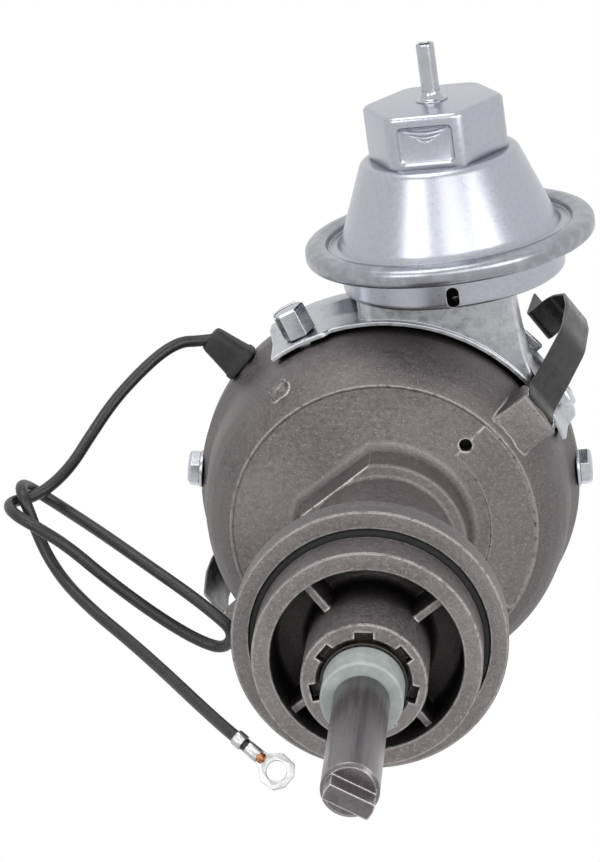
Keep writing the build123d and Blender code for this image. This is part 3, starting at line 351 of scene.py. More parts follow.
def fromPicture(red, green, blue):
    # a colour as it is read in a picture, 0 to 255, to the linear values that sockets take
    values = []
    for part in (red, green, blue):
        part /= 255
        values.append(part / 12.92 if part <= 0.04045 else ((part + 0.055) / 1.055) ** 2.4)
    return (*values, 1.0)


class Finish:
    # a material whose nodes are added by name, with values or sockets for their inputs
    def __init__(self, name, **sockets):
        self.material = bpy.data.materials.new(name)
        self.material.use_nodes = True
        self.nodes = self.material.node_tree.nodes
        self.links = self.material.node_tree.links
        self.shader = self.nodes["Principled BSDF"]
        self.set(**sockets)

    def set(self, **sockets):
        for socket, value in sockets.items():
            self.plug(self.shader.inputs[socket.replace("_", " ")], value)

    def plug(self, socket, value):
        if isinstance(value, bpy.types.NodeSocket):
            self.links.new(value, socket)
        else:
            socket.default_value = value

    def add(self, kind, output=0, inputs=(), **settings):
        node = self.nodes.new("ShaderNode" + kind)
        for setting, value in settings.items():
            setattr(node, setting, value)
        for key, value in dict(inputs).items():
            self.plug(node.inputs[key], value)
        return node.outputs[output]

    def place(self):
        return self.add("TexCoord", "Object")

    def stretched(self, scale):
        return self.add("Mapping", inputs={"Vector": self.place(), "Scale": scale})

    def grain(self, scale, detail, roughness=0.55, vector=None):
        return self.add("TexNoise", "Fac", {
            "Vector": vector or self.place(),
            "Scale": scale,
            "Detail": detail,
            "Roughness": roughness,
        })

    def grainPair(self, size, look, vector=None):
        # a look's two grains, as shares of the material's own size
        pair = {}
        for grain in ("middle", "fine"):
            share, detail, roughness = look[grain]
            pair[grain] = self.grain(size * share, detail, roughness, vector)
        return pair

    def between(self, value, low, high, fromZero=0.0, toOne=1.0):
        return self.add("MapRange", "Result", {
            "Value": value, "From Min": low, "From Max": high, "To Min": fromZero, "To Max": toOne,
        }, interpolation_type="SMOOTHSTEP")

    def math(self, operation, first, second):
        node = self.nodes.new("ShaderNodeMath")
        node.operation = operation
        self.plug(node.inputs[0], first)
        self.plug(node.inputs[1], second)
        return node.outputs[0]

    def mixed(self, amount, first, second, blend="MIX"):
        node = self.nodes.new("ShaderNodeMix")
        node.data_type = "RGBA"
        node.blend_type = blend
        self.plug(node.inputs[0], amount)
        self.plug(node.inputs[6], first)
        self.plug(node.inputs[7], second)
        return node.outputs[2]

    def edgeMask(self, radius, low=0.02, high=0.2):
        # where the surface turns within the radius
        rounded = self.add("Bevel", inputs={"Radius": radius * mm}, samples=6)
        flat = self.add("NewGeometry", "Normal")
        same = self.add("VectorMath", "Value", {0: rounded, 1: flat}, operation="DOT_PRODUCT")
        return self.between(self.math("SUBTRACT", 1.0, same), low, high)

    def openness(self, distance, low, high):
        # 0 deep in a recess, 1 out in the open
        light = self.add("AmbientOcclusion", "AO", {"Distance": distance * mm}, samples=8)
        return self.between(light, low, high)

    def bumps(self, height, strength, depth, normal):
        inputs = {"Height": height, "Strength": strength, "Distance": depth * mm, "Normal": normal}
        return self.add("Bump", inputs=inputs)


# Stage and light

studio = {
    "floorHeight": -2400,
    "floorSize": 60000,
    "floorColour": (246, 246, 245),
    "floorGlow": 0.5,
    "ambient": 0.5,
    "lamps": [
        # towards (side, up, back) of the camera, distance, width, power
        ("leftLamp", (-0.62, 0.12, 0.78), 900, 460, 1.7),
        ("rightLamp", (0.62, 0.12, 0.78), 900, 520, 2.5),
        ("topLamp", (-0.3, 1.0, 0.4), 900, 620, 2.6),
        ("frontLamp", (0.08, 0.12, 1.0), 900, 560, 1.5),
    ],
}


def seenRays(tree):
    # 1 for rays from the camera, also by mirror or glass, and 0 for those that light a surface
    path = tree.nodes.new("ShaderNodeLightPath")
    seen = path.outputs["Is Camera Ray"]
    for output in ("Is Glossy Ray", "Is Transmission Ray"):
        larger = tree.nodes.new("ShaderNodeMath")
        larger.operation = "MAXIMUM"
        tree.links.new(seen, larger.inputs[0])
        tree.links.new(path.outputs[output], larger.inputs[1])
        seen = larger.outputs[0]
    return seen


def makeStudio(settings):
    size = settings["floorSize"] / 2 * mm
    height = settings["floorHeight"] * mm
    mesh = bpy.data.meshes.new("studioFloor")
    corners = [(-size, -size, height), (size, -size, height), (size, size, height), (-size, size, height)]
    mesh.from_pydata(corners, [], [(0, 1, 2, 3)])
    floor = addObject("studioFloor", mesh)
    floor.visible_diffuse = False  # the world lights the underside through it
    colour = fromPicture(*settings["floorColour"])
    paint = Finish("studioFloor", Roughness=0.8, Base_Color=colour, Emission_Color=colour)
    glow = paint.math("MULTIPLY", seenRays(paint.material.node_tree), settings["floorGlow"])
    paint.set(Emission_Strength=glow)
    mesh.materials.append(paint.material)

    world = bpy.data.worlds.new("studioWorld")
    bpy.context.scene.world = world
    world.use_nodes = True
    tree = world.node_tree
    background = tree.nodes["Background"]
    background.inputs["Color"].default_value = (1, 1, 1, 1)
    strength = tree.nodes.new("ShaderNodeMapRange")
    tree.links.new(seenRays(tree), strength.inputs["Value"])
    strength.inputs["To Min"].default_value = settings["ambient"]
    strength.inputs["To Max"].default_value = 1.0
    tree.links.new(strength.outputs["Result"], background.inputs["Strength"])

    centre = (cadLow + cadHigh) / 2
    for name, (side, up, back), distance, width, power in settings["lamps"]:
        data = bpy.data.lights.new(name, "AREA")
        data.shape = "DISK"
        data.size = width * mm
        data.energy = power
        lamp = addObject(name, data)
        lamp.visible_camera = False
        away = (viewSide * side + viewUp * up + viewBack * back).normalized()
        lamp.location = centre + away * distance * mm
        lamp.rotation_mode = "QUATERNION"
        lamp.rotation_quaternion = away.to_track_quat("Z", "Y")


makeStudio(studio)
print("studio made")


# Finishes; colours are as in a picture, grains in features per metre, depths and roundings in mm

castMetal = {
    "colour": (112, 106, 107),
    "darker": (92, 87, 87),
    "lighter": (158, 153, 153),
    # edge colour: worn metal, partly painted highlight on rounded edges
    "edgeWearAndPaintedLight": (236, 234, 233),
    # painted shade, laid deep in recesses
    "sooty": (34, 31, 29),
    "metallic": 0.6,
    "grains": {
        # features, detail, roughness
        "fine": (1900, 3.0, 0.75), "middle": (800, 5.0, 0.65), "broad": (45, 3.0, 0.5), "patches": (600, 4.0),
    },
    # where in its grain each colour begins and is full, and from how much to how much
    "shade": (0.3, 0.66),
    "light": (0.55, 0.76),
    "dark": (0.46, 0.3, 0.0, 0.7),
    "cloud": (0.38, 0.66, 0.0, 0.15),
    "patch": (0.32, 0.5),
    # painted light: how much lighter faces that look down the shaft are made
    "paintedLight": 1.5,
    "paintedLightFrom": (-0.8, -0.98),  # how straight a face looks down the shaft, where the painted light begins and is full
    "edge": 1.3,
    # painted shade in recesses: reach in mm, and the openness where it is full and where it ends
    "recess": (26, 0.12, 0.5),
    "rough": (0.44, 0.62),
    "roughFrom": (0.3, 0.7),
    "rounding": 0.45,
    "bumps": {"middle": (0.5, 0.3), "fine": (0.6, 0.18)},
}


def makeCastMetal(name, settings):
    finish = Finish(name, Metallic=settings["metallic"], Specular_IOR_Level=0.45)
    grains = {grain: finish.grain(*values) for grain, values in settings["grains"].items()}
    tones = {tone: fromPicture(*settings[tone]) for tone in ("colour", "darker", "lighter", "edgeWearAndPaintedLight", "sooty")}
    shade = finish.between(grains["middle"], *settings["shade"])
    base = finish.mixed(shade, tones["darker"], tones["colour"])
    base = finish.mixed(finish.between(grains["fine"], *settings["light"]), base, tones["lighter"])
    base = finish.mixed(finish.between(grains["fine"], *settings["dark"]), base, tones["darker"])
    base = finish.mixed(finish.between(grains["broad"], *settings["cloud"]), base, tones["lighter"])
    # painted light: faces that look down the shaft are made lighter by their direction
    downward = finish.add("SeparateXYZ", "Z", {"Vector": finish.add("NewGeometry", "Normal")})
    paintedLight = finish.between(downward, *settings["paintedLightFrom"])
    base = finish.mixed(paintedLight, base, (*[settings["paintedLight"]] * 3, 1.0), "MULTIPLY")
    # edges: worn metal in patches, partly painted highlight
    edge = finish.edgeMask(settings["edge"])
    patches = finish.between(grains["patches"], *settings["patch"])
    base = finish.mixed(finish.math("MULTIPLY", edge, patches), base, tones["edgeWearAndPaintedLight"])
    # painted shade: darker deep in recesses, where the surface sees little of its surroundings
    base = finish.mixed(finish.openness(*settings["recess"]), tones["sooty"], base)
    rough = finish.between(grains["middle"], *settings["roughFrom"], *settings["rough"])
    normal = finish.add("Bevel", inputs={"Radius": settings["rounding"] * mm}, samples=6)
    for grain, values in settings["bumps"].items():
        normal = finish.bumps(grains[grain], *values, normal)
    finish.set(Base_Color=base, Roughness=rough, Normal=normal)
    return finish.material


plainMetals = {
    # tones: darker, usual, lighter; a stretch under 1 draws the grain out to streaks
    # edgeWearAndPaintedLight is the colour at edges: worn metal and painted highlight where lighter, painted
    # shade where darker
    "canZinc": {
        "tones": ((170, 172, 181), (176, 178, 187), (184, 186, 194)),
        "metallic": 1.0, "rough": (0.27, 0.31), "grain": 900, "depth": 0.006,
        # recess and sooty: painted shade deep in the can's recesses
        "edge": 0.5, "edgeWearAndPaintedLight": (216, 217, 223), "edgeStrength": 0.5, "recess": (5.0, 0.25, 0.8), "sooty": (46, 46, 50),
        # painted dark reflection and shade on the rolled edge: its reach from the can's axis, and its colour
        "rolled": (30.4, 32.0), "dull": (146, 148, 154),
    },
    "nippleZinc": {
        "tones": ((168, 169, 176), (178, 179, 186), (188, 189, 195)),
        "metallic": 1.0, "rough": (0.16, 0.2), "grain": 500, "depth": 0.004,
        # its edges are darker: painted shade
        "edge": 0.4, "edgeWearAndPaintedLight": (110, 110, 116), "edgeStrength": 0.7,
    },
    "bracketZinc": {
        "tones": ((170, 172, 177), (188, 190, 194), (206, 208, 212)),
        "metallic": 0.95, "rough": (0.26, 0.42), "grain": 420, "depth": 0.08,
        # recess and sooty: painted shade deep in the bracket's recesses
        "edge": 0.8, "edgeWearAndPaintedLight": (236, 237, 240), "edgeStrength": 0.9, "recess": (4.0, 0.25, 0.7), "sooty": (60, 60, 62),
    },
    "screwZinc": {
        "tones": ((176, 179, 185), (192, 195, 201), (206, 209, 213)),
        "metallic": 1.0, "rough": (0.2, 0.3), "grain": 700, "depth": 0.02,
        "edge": 0.6, "edgeWearAndPaintedLight": (236, 238, 240), "edgeStrength": 0.8,
    },
    "clipSteel": {
        "tones": ((46, 44, 45), (62, 60, 61), (78, 76, 77)),
        "metallic": 0.85, "rough": (0.28, 0.42), "grain": 600, "stretch": (1, 1, 0.2), "depth": 0.03,
        "edge": 0.35, "edgeWearAndPaintedLight": (170, 168, 168), "edgeStrength": 0.8,
    },
    "shaftSteel": {
        "tones": ((102, 97, 99), (116, 111, 113), (130, 126, 128)),
        "metallic": 0.95, "rough": (0.22, 0.3), "grain": 500, "stretch": (1, 1, 0.05), "depth": 0.008,
        "edge": 0.8, "edgeWearAndPaintedLight": (226, 225, 226), "edgeStrength": 0.9,
    },
    "plateSteel": {
        "tones": ((132, 128, 114), (168, 164, 150), (194, 191, 180)),
        "metallic": 0.9, "rough": (0.3, 0.46), "grain": 500, "depth": 0.03,
        "edge": 0.3, "edgeWearAndPaintedLight": (214, 212, 204), "edgeStrength": 0.5,
    },
    "camSteel": {
        "tones": ((116, 114, 112), (148, 146, 145), (180, 178, 177)),
        "metallic": 0.95, "rough": (0.2, 0.32), "grain": 700, "stretch": (0.1, 0.1, 1), "depth": 0.02,
        "edge": 0.3, "edgeWearAndPaintedLight": (206, 205, 204), "edgeStrength": 0.5,
    },
    "bushingBronze": {
        "tones": ((128, 98, 60), (164, 130, 84), (192, 160, 112)),
        "metallic": 0.9, "rough": (0.32, 0.5), "grain": 1500, "depth": 0.03,
        "edge": 0.3, "edgeWearAndPaintedLight": (206, 180, 130), "edgeStrength": 0.5,
    },
    "darkSteel": {
        "tones": ((48, 46, 45), (70, 68, 67), (96, 94, 92)),
        "metallic": 0.8, "rough": (0.36, 0.55), "grain": 800, "depth": 0.03,
        "edge": 0.3, "edgeWearAndPaintedLight": (130, 128, 126), "edgeStrength": 0.5,
    },
    "tinPlate": {
        "tones": ((176, 176, 176), (190, 190, 191), (202, 202, 202)),
        "metallic": 0.95, "rough": (0.3, 0.4), "grain": 600, "depth": 0.008,
        # its edges are darker: painted shade
        "edge": 0.3, "edgeWearAndPaintedLight": (150, 150, 151), "edgeStrength": 0.7,
    },
    "copperStrand": {
        "tones": ((140, 84, 50), (196, 128, 84), (224, 164, 120)),
        "metallic": 0.9, "rough": (0.3, 0.45), "grain": 2600, "depth": 0.06,
        "edge": 0.2, "edgeWearAndPaintedLight": (236, 190, 150), "edgeStrength": 0.4,
    },
}


metalLook = {
    # share of the metal's own grain, detail, roughness
    "middle": (1, 5.0, 0.62),
    "fine": (5, 2.0, 0.6),
    # ranges in the grains, as for the casting
    "shade": (0.32, 0.62),
    "light": (0.5, 0.75, 0.0, 0.7),
    # patches in the painted dark reflection and shade on the can's rolled edge
    "smudges": (300, 4.0),
    "smudged": (0.3, 0.6, 0.4, 1.0),
    "roughFrom": (0.3, 0.7),
    "rounding": 0.25,
    "bumps": {"middle": (0.4, 1), "fine": (0.3, 1 / 3)},  # strength, share of the metal's own depth
}


def makeMetal(name, settings, look):
    finish = Finish(name, Metallic=settings["metallic"])
    along = finish.stretched(settings.get("stretch", (1, 1, 1)))
    darker, usual, lighter = (fromPicture(*tone) for tone in settings["tones"])
    grains = finish.grainPair(settings["grain"], look, along)
    base = finish.mixed(finish.between(grains["middle"], *look["shade"]), darker, usual)
    base = finish.mixed(finish.between(grains["fine"], *look["light"]), base, lighter)
    # edge colour: worn metal and painted highlight where lighter, painted shade where darker
    edge = finish.math("MULTIPLY", finish.edgeMask(settings["edge"]), settings["edgeStrength"])
    base = finish.mixed(edge, base, fromPicture(*settings["edgeWearAndPaintedLight"]))
    if "rolled" in settings:
        # painted dark reflection and shade: darker, in patches, where the can's edge is rolled over
        flat = finish.add("VectorMath", inputs={0: finish.place(), 1: (1, 0, 1)}, operation="MULTIPLY")
        axis = (canAxis["x"] * mm, 0, canAxis["z"] * mm)
        reach = finish.add("VectorMath", "Value", {0: flat, 1: axis}, operation="DISTANCE")
        low, high = settings["rolled"]
        rolled = finish.between(reach, low * mm, high * mm)
        smudged = finish.between(finish.grain(*look["smudges"]), *look["smudged"])
        base = finish.mixed(finish.math("MULTIPLY", rolled, smudged), base, fromPicture(*settings["dull"]))
    # painted shade: darker deep in recesses
    if "recess" in settings:
        base = finish.mixed(finish.openness(*settings["recess"]), fromPicture(*settings["sooty"]), base)
    rough = finish.between(grains["middle"], *look["roughFrom"], *settings["rough"])
    normal = finish.add("Bevel", inputs={"Radius": look["rounding"] * mm}, samples=6)
    for grain, (strength, share) in look["bumps"].items():
        normal = finish.bumps(grains[grain], strength, settings["depth"] * share, normal)
    finish.set(Base_Color=base, Roughness=rough, Normal=normal)
    return finish.material


softFinishes = {
    # colour, lighter colour, roughness, grain, depth
    "wireSleeve": ((24, 24, 26), (38, 38, 41), (0.34, 0.46), 500, 0.03),
    "blackRubber": ((22, 22, 24), (36, 36, 37), (0.5, 0.66), 900, 0.06),
    # seal ring: black rubber made darker still, as painted shade of the groove it sits in
    "sealRubberInShade": ((12, 12, 13), (20, 20, 21), (0.75, 0.88), 900, 0.06),
    "collarNylon": ((156, 164, 162), (174, 181, 178), (0.4, 0.5), 300, 0.03),
    "fibreBlock": ((112, 66, 42), (146, 96, 64), (0.5, 0.66), 1400, 0.05),
    "terminalPlastic": ((46, 38, 34), (70, 60, 54), (0.35, 0.5), 800, 0.03),
    "feltWick": ((188, 178, 150), (214, 206, 184), (0.85, 0.95), 2400, 0.25),
    "padPlastic": ((206, 200, 186), (220, 215, 204), (0.4, 0.5), 500, 0.02),
    "diaphragmCloth": ((48, 46, 44), (74, 70, 66), (0.6, 0.75), 1600, 0.08),
}


softLook = {
    # share of the material's own grain, detail, roughness
    "middle": (1, 5.0, 0.6),
    "fine": (4, 2.0, 0.6),
    "light": (0.35, 0.7),
    "roughFrom": (0.3, 0.7),
    "rounding": 0.3,
    "bumps": 0.4,
}


def makeSoft(name, settings, look):
    finish = Finish(name, Metallic=0.0)
    colour, lighter, roughness, size, depth = settings
    grains = finish.grainPair(size, look)
    base = finish.between(grains["middle"], *look["light"])
    base = finish.mixed(base, fromPicture(*colour), fromPicture(*lighter))
    rough = finish.between(grains["fine"], *look["roughFrom"], *roughness)
    normal = finish.add("Bevel", inputs={"Radius": look["rounding"] * mm}, samples=6)
    height = finish.math("ADD", grains["middle"], grains["fine"])
    finish.set(Base_Color=base, Roughness=rough, Normal=finish.bumps(height, look["bumps"], depth, normal))
    return finish.material


finishes = {name: makeMetal(name, settings, metalLook) for name, settings in plainMetals.items()}
finishes.update({name: makeSoft(name, settings, softLook) for name, settings in softFinishes.items()})
finishes["castHousing"] = makeCastMetal("castHousing", castMetal)
print("finishes made:", len(finishes))


def dress(piece, finish, replaced=(), body="housing_body", angle=None):
    # edges that turn by more than the angle stay sharp
    if angle is not None:
        smooth(piece, angle)
    piece.data.materials.clear()
    piece.data.materials.append(finishes[finish])
    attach(piece, body)
    if replaced:
        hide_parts(*replaced)


# Housing: one casting of hub, pilot, flange, neck, boss and bowl

rodWindow = {"sides": (17.5, 30.5), "heights": (99.75, 106.25), "back": -20}  # where the rod passes the wall

housing = {
    "steps": 256,
    "outline": [
        # (radius, height, rounding), up the outside and down the inside
        (9.0, -19.8), (10.3, -19.8), (10.3, -22.5), (11.0, -23.2), (14.4, -23.2, 0.35),
        (14.4, 3.2, 2.0), (22.2, 3.2, 1.6), (22.2, -10.9, 0.35), (26.6, -10.9, 0.35), (26.6, -0.9, 0.3),
        (25.2, -0.9), (25.2, 2.2), (28.0, 2.2), (28.0, 0.0, 0.3), (32.3, 0.0, 0.35), (32.3, 7.2, 0.6),
        (18.0, 7.2, 5.0), (18.0, 60.0, 1.0), (21.5, 60.0, 0.9), (21.7, 70.3, 2.7), (37.9, 70.3, 0.3),
        (38.6, 69.65, 0.35), (39.6, 70.45, 0.4), (41.9, 73.0, 6.0), (44.3, 77.0, 6.0),
        (46.0, 81.6, 6.0), (46.8, 86.5, 6.0), (47.3, 97.0, 6.0), (49.5, 102.8, 1.2), (49.5, 110.0, 0.5),
        (45.8, 110.0, 0.3), (45.8, 107.0, 0.2), (43.5, 107.0, 0.3), (43.5, 74.3, 9.0), (13.0, 74.3, 1.0),
        (13.0, 76.3, 0.4), (9.0, 76.3),
    ],
    "blocks": {
        # box: (from, to) away from the shaft, (right, left); rough: cuts, depth, size
        "rib": {
            "angles": (-122, -32, 58, 148), "box": (13.6, 22.9, -1, 1), "heights": (-8.0, 3.6), "round": 0.5,
        },
        "ear": {
            "angles": (-31.5, 148.5), "box": (38.0, 50.2, -6.3, 6.3), "heights": (71.2, 79.0), "round": 0.7,
            "rough": (3, 0.5, 2.5), "seed": 0,
        },
        "nub": {
            "angles": (-119.5,), "box": (38.5, 45.6, -2.5, 2.5), "heights": (73.6, 79.0), "round": 1.3,
            "rough": (2, 0.7, 2.2), "seed": 7,
        },
    },
    "groundPad": {"angles": (-41, 40), "inner": 27.0, "outer": 38.0, "heights": (69.95, 71.0), "steps": 40},
    "flat": {
        "angle": -121.7, "across": (-18.0, 18.0),
        "outline": [(18.5, 59.0), (18.5, 60.7, 0.6), (18.7, 70.3, 2.7), (28.0, 70.3), (28.0, 59.0)],
    },
    "notches": {
        "count": 7, "angle": -82.5, "place": 10.15, "box": (-2.15, 2.15, -2.1, 2.1), "heights": (-25, -20.2),
    },
    "oilHole": {"place": 30.9, "angle": -41.1, "radius": 1.65, "heights": (68, 76)},
    "strapSlot": {"box": (46.0, 55, -5.0, 5.0), "heights": (72.4, 82.0)},
    "screwSpots": {
        "angles": (-169.0, 1.5), "height": 104.5,
        "outline": [(0, 42), (2.3, 42), (2.3, 49.0), (5.2, 49.0), (5.2, 52), (0, 52)],
    },
    # (angle, height, radius) of the holes for the bracket's screws and the grommet
    "wallHoles": ((-109.0, 92.5, 2.4), (-25.0, 97.0, 2.4), (-132.5, 105.0, 3.2)),
    "wall": (42, 52),
    "windowFront": -47.3,
}


def windowBar(settings, front):
    return barPiece("window", boxOutline(*settings["sides"], front, settings["back"]), *settings["heights"])


def makeHousing(settings):
    body = turnedPiece("castHousing", softCorners(settings["outline"]), settings["steps"])
    added = []
    for name, part in settings["blocks"].items():
        for number, angle in enumerate(part["angles"]):
            block = barPiece(name, boxOutline(*part["box"]), *part["heights"], turnedBy(angle))
            roundEdges(block, part["round"])
            if "rough" in part:
                roughened(block, *part["rough"], part["seed"] + number)
            added.append(block)
    part = settings["groundPad"]
    pad = arcPoints(part["outer"], *part["angles"], part["steps"])
    pad += arcPoints(part["inner"], *part["angles"], part["steps"])[::-1]
    added.append(barPiece("pad", pad, *part["heights"]))
    combine(body, added, "UNION")

    part = settings["flat"]
    profile = softCorners(part["outline"])
    rings = [[(reach, y, height) for reach, height in profile] for y in part["across"]]
    cuts = [loftedPiece("flat", rings, turnedBy(part["angle"]))]
    part = settings["notches"]
    for k in range(part["count"]):
        turn = turnedBy(part["angle"] + 360 / part["count"] * k, (part["place"], 0, 0))
        cuts.append(barPiece("notch", boxOutline(*part["box"]), *part["heights"], turn))
    part = settings["oilHole"]
    cuts.append(roundBar(part["radius"], *part["heights"], turnedBy(part["angle"], (part["place"], 0, 0))))
    part = settings["strapSlot"]
    for angle in settings["blocks"]["ear"]["angles"]:
        cuts.append(barPiece("slot", boxOutline(*part["box"]), *part["heights"], turnedBy(angle)))
    part = settings["screwSpots"]
    for angle in part["angles"]:
        cuts.append(turnedPiece("spot", part["outline"], barSteps, outward(angle, part["height"])))
    for angle, height, radius in settings["wallHoles"]:
        cuts.append(roundBar(radius, *settings["wall"], outward(angle, height)))
    cuts.append(windowBar(rodWindow, settings["windowFront"]))
    combine(body, cuts)
    dress(body, "castHousing", ["housing"], angle=28)
    return body


castBody = makeHousing(housing)
print("housing made:", len(castBody.data.vertices), "points")


# Vacuum unit, on its own axis beside the shaft; heights run outward from the shaft

vacuumUnit = {
    "steps": 192,
    "backShell": [
        (5.5, 54.4), (28.5, 54.4, 1.7), (28.5, 63.7, 1.0), (36.0, 63.7), (36.0, 64.5), (27.7, 64.5, 0.4),
        (27.7, 55.2, 0.8), (5.5, 55.2),
    ],
    "frontShell": [
        (36.0, 65.4), (27.4, 65.4), (26.6, 66.2), (26.6, 68.2, 1.0), (19.1, 86.7, 1.0), (14.5, 86.7),
        (14.5, 87.5), (19.9, 87.5, 2.4), (27.4, 68.2, 3.0), (28.6, 66.4, 1.0), (31.0, 66.1, 0.4),
        (31.6, 67.7, 0.9), (34.0, 68.2, 2.4), (37.0, 67.3, 1.9), (37.0, 62.9, 1.7), (34.2, 62.9, 0.4),
        (34.2, 63.7), (36.0, 63.7),
    ],
    "vent": (-0.9, 2.2, 54.9, 60.1, 1.5),
    "ventReach": (20, 40),
    "hexFlats": 32.0,
    "hexCorner": 4.4,
    "hexTurn": -7.0,
    "hexHeights": (87.3, 101.0),
    "hexTop": {"round": 1.3, "steps": 6},
    "recess": {
        # rings: (depth, growth on each side, rounding)
        "width": 14.0, "heights": (88.5, 98.3),
        "rings": ((-1, 0.1, 1.6), (0.1, 0.0, 1.5), (0.72, -0.45, 1.3), (0.9, -0.8, 1.1)),
    },
    "creases": {
        # lines: (height, half width, length)
        "lines": ((96.4, 0.5, 10.6), (95.3, 0.4, 8.0), (94.3, 0.3, 4.6)),
        "steps": 12, "sides": 10, "bow": 0.8, "depthShare": 0.55, "taper": 0.7, "taperPower": 6,
    },
    "nippleSteps": 64,
    "nipple": [
        (1.5, 98.0), (2.25, 98.0), (2.25, 100.9), (4.1, 100.9, 0.2), (4.0, 101.3, 0.3), (3.1, 101.5, 0.6),
        (2.3, 103.0, 1.6), (2.3, 115.5, 0.45), (1.5, 115.5, 0.3),
    ],
}


def hexOutline(flats, corner, angle=0.0):
    reach = flats / 2 / cos(pi / 6)
    points = []
    for k in range(6):
        turn = radians(60 * k + angle)
        points.append((reach * cos(turn), reach * sin(turn), corner))
    return softCorners(points)


def makeHexCap(settings):
    low, high = settings["hexHeights"]
    flats, corner, angle = settings["hexFlats"], settings["hexCorner"], settings["hexTurn"]
    top, steps = settings["hexTop"]["round"], settings["hexTop"]["steps"]
    rings = [[(x, y, low) for x, y in hexOutline(flats, corner, angle)]]
    for k in range(steps + 1):
        turn = pi / 2 * k / steps
        outline = hexOutline(flats - 2 * top * (1 - cos(turn)), corner, angle)
        rings.append([(x, y, high - top + top * sin(turn)) for x, y in outline])
    hexCap = loftedPiece("canHexCap", rings, onCan)

    def onFacet(x, y, z):
        return onCan(*turnedPoint(x, y - flats / 2, angle), z)
    part = settings["recess"]
    half = part["width"] / 2
    low, high = part["heights"]
    rings = []
    for depth, grow, rounding in part["rings"]:
        outline = boxOutline(-half - grow, half + grow, low - grow, high + grow, rounding)
        rings.append([(x, depth, z) for x, z in outline])
    combine(hexCap, [loftedPiece("recess", rings, onFacet)])
    floor = part["rings"][-1][0]
    part = settings["creases"]
    creases = []
    for height, wide, long in part["lines"]:
        rings = []
        for k in range(part["steps"] + 1):
            across = 2 * k / part["steps"] - 1
            swell = wide * (1 - across ** part["taperPower"] * part["taper"])
            up = height + part["bow"] * across ** 2
            section = circlePoints(swell, part["sides"])
            rings.append([(across * long / 2, floor + part["depthShare"] * y, up + z) for y, z in section])
        creases.append(loftedPiece("crease", rings, onFacet))
    combine(hexCap, creases)
    dress(hexCap, "canZinc", ["can_hex_cap"], angle=30)


def makeVacuumUnit(settings):
    steps = settings["steps"]
    backShell = turnedPiece("canBackShell", softCorners(settings["backShell"]), steps, onCan)

    def down(x, y, z):
        return onCan(x, -z, y)
    vent = barPiece("vent", boxOutline(*settings["vent"]), *settings["ventReach"], down)
    combine(backShell, [vent])
    dress(backShell, "canZinc", ["can_lower_shell"], angle=35)

    frontShell = turnedPiece("canFrontShell", softCorners(settings["frontShell"]), steps, onCan)
    dress(frontShell, "canZinc", ["can_upper_shell"], angle=35)

    makeHexCap(settings)

    nipple = turnedPiece("canNipple", softCorners(settings["nipple"]), settings["nippleSteps"], onCan)
    dress(nipple, "nippleZinc", ["can_nipple"], angle=40)


makeVacuumUnit(vacuumUnit)
print("vacuum unit made")


# Bracket between the bowl and the vacuum unit

bracket = {
    "angles": (-119.0, -15.0),
    "outline": [
        (48.3, 88.5), (47.7, 93.5), (47.4, 97.0), (49.62, 102.8), (49.62, 108.6), (52.0, 108.6, 0.8),
        (52.0, 102.8, 2.5), (49.85, 97.0, 4.0), (49.4, 88.5, 0.35),
    ],
    "steps": 104,
    "lowerEnd": {"angles": (-101.5, -99.8), "drop": 1.8},  # the left end reaches further down, with a step
    "waves": {"depth": 0.15, "share": 0.25},
    "dropHeight": 4,  # the drop and the waves of the edge end this far up
    "neck": [
        # (distance from the shaft, left, right, low, high, rounding)
        (54.4, -1.0, 39.0, 89.5, 107.5, 4.0), (50.0, -1.0, 39.0, 89.5, 107.5, 4.0),
        (45.0, -1.4, 39.2, 89.4, 107.5, 4.0), (40.0, -2.0, 39.6, 89.3, 107.5, 4.0),
        (35.0, -2.0, 40.2, 89.1, 107.5, 4.0), (31.0, -2.0, 41.2, 88.9, 107.5, 4.0),
        (27.5, -2.0, 42.8, 88.7, 107.5, 4.0), (24.0, -2.0, 45.0, 88.6, 107.5, 4.0),
    ],
    "foldRound": 1.0,
    "insideSteps": 128,
    "insideOf": [
        (0, 60), (48.2, 60), (48.25, 88.5), (47.65, 93.5), (47.35, 97.0), (49.55, 102.8), (49.55, 112),
        (0, 112),
    ],
    "tab": {"angles": (-44.0, -36.0), "inner": 50.5, "outer": 54.0, "heights": (106.6, 108.6), "steps": 12},
    "holes": ((-109.0, 92.5, 2.5), (-25.0, 97.0, 2.5)),
    "holeReach": (42, 56),
    "windowFront": -53.0,
}


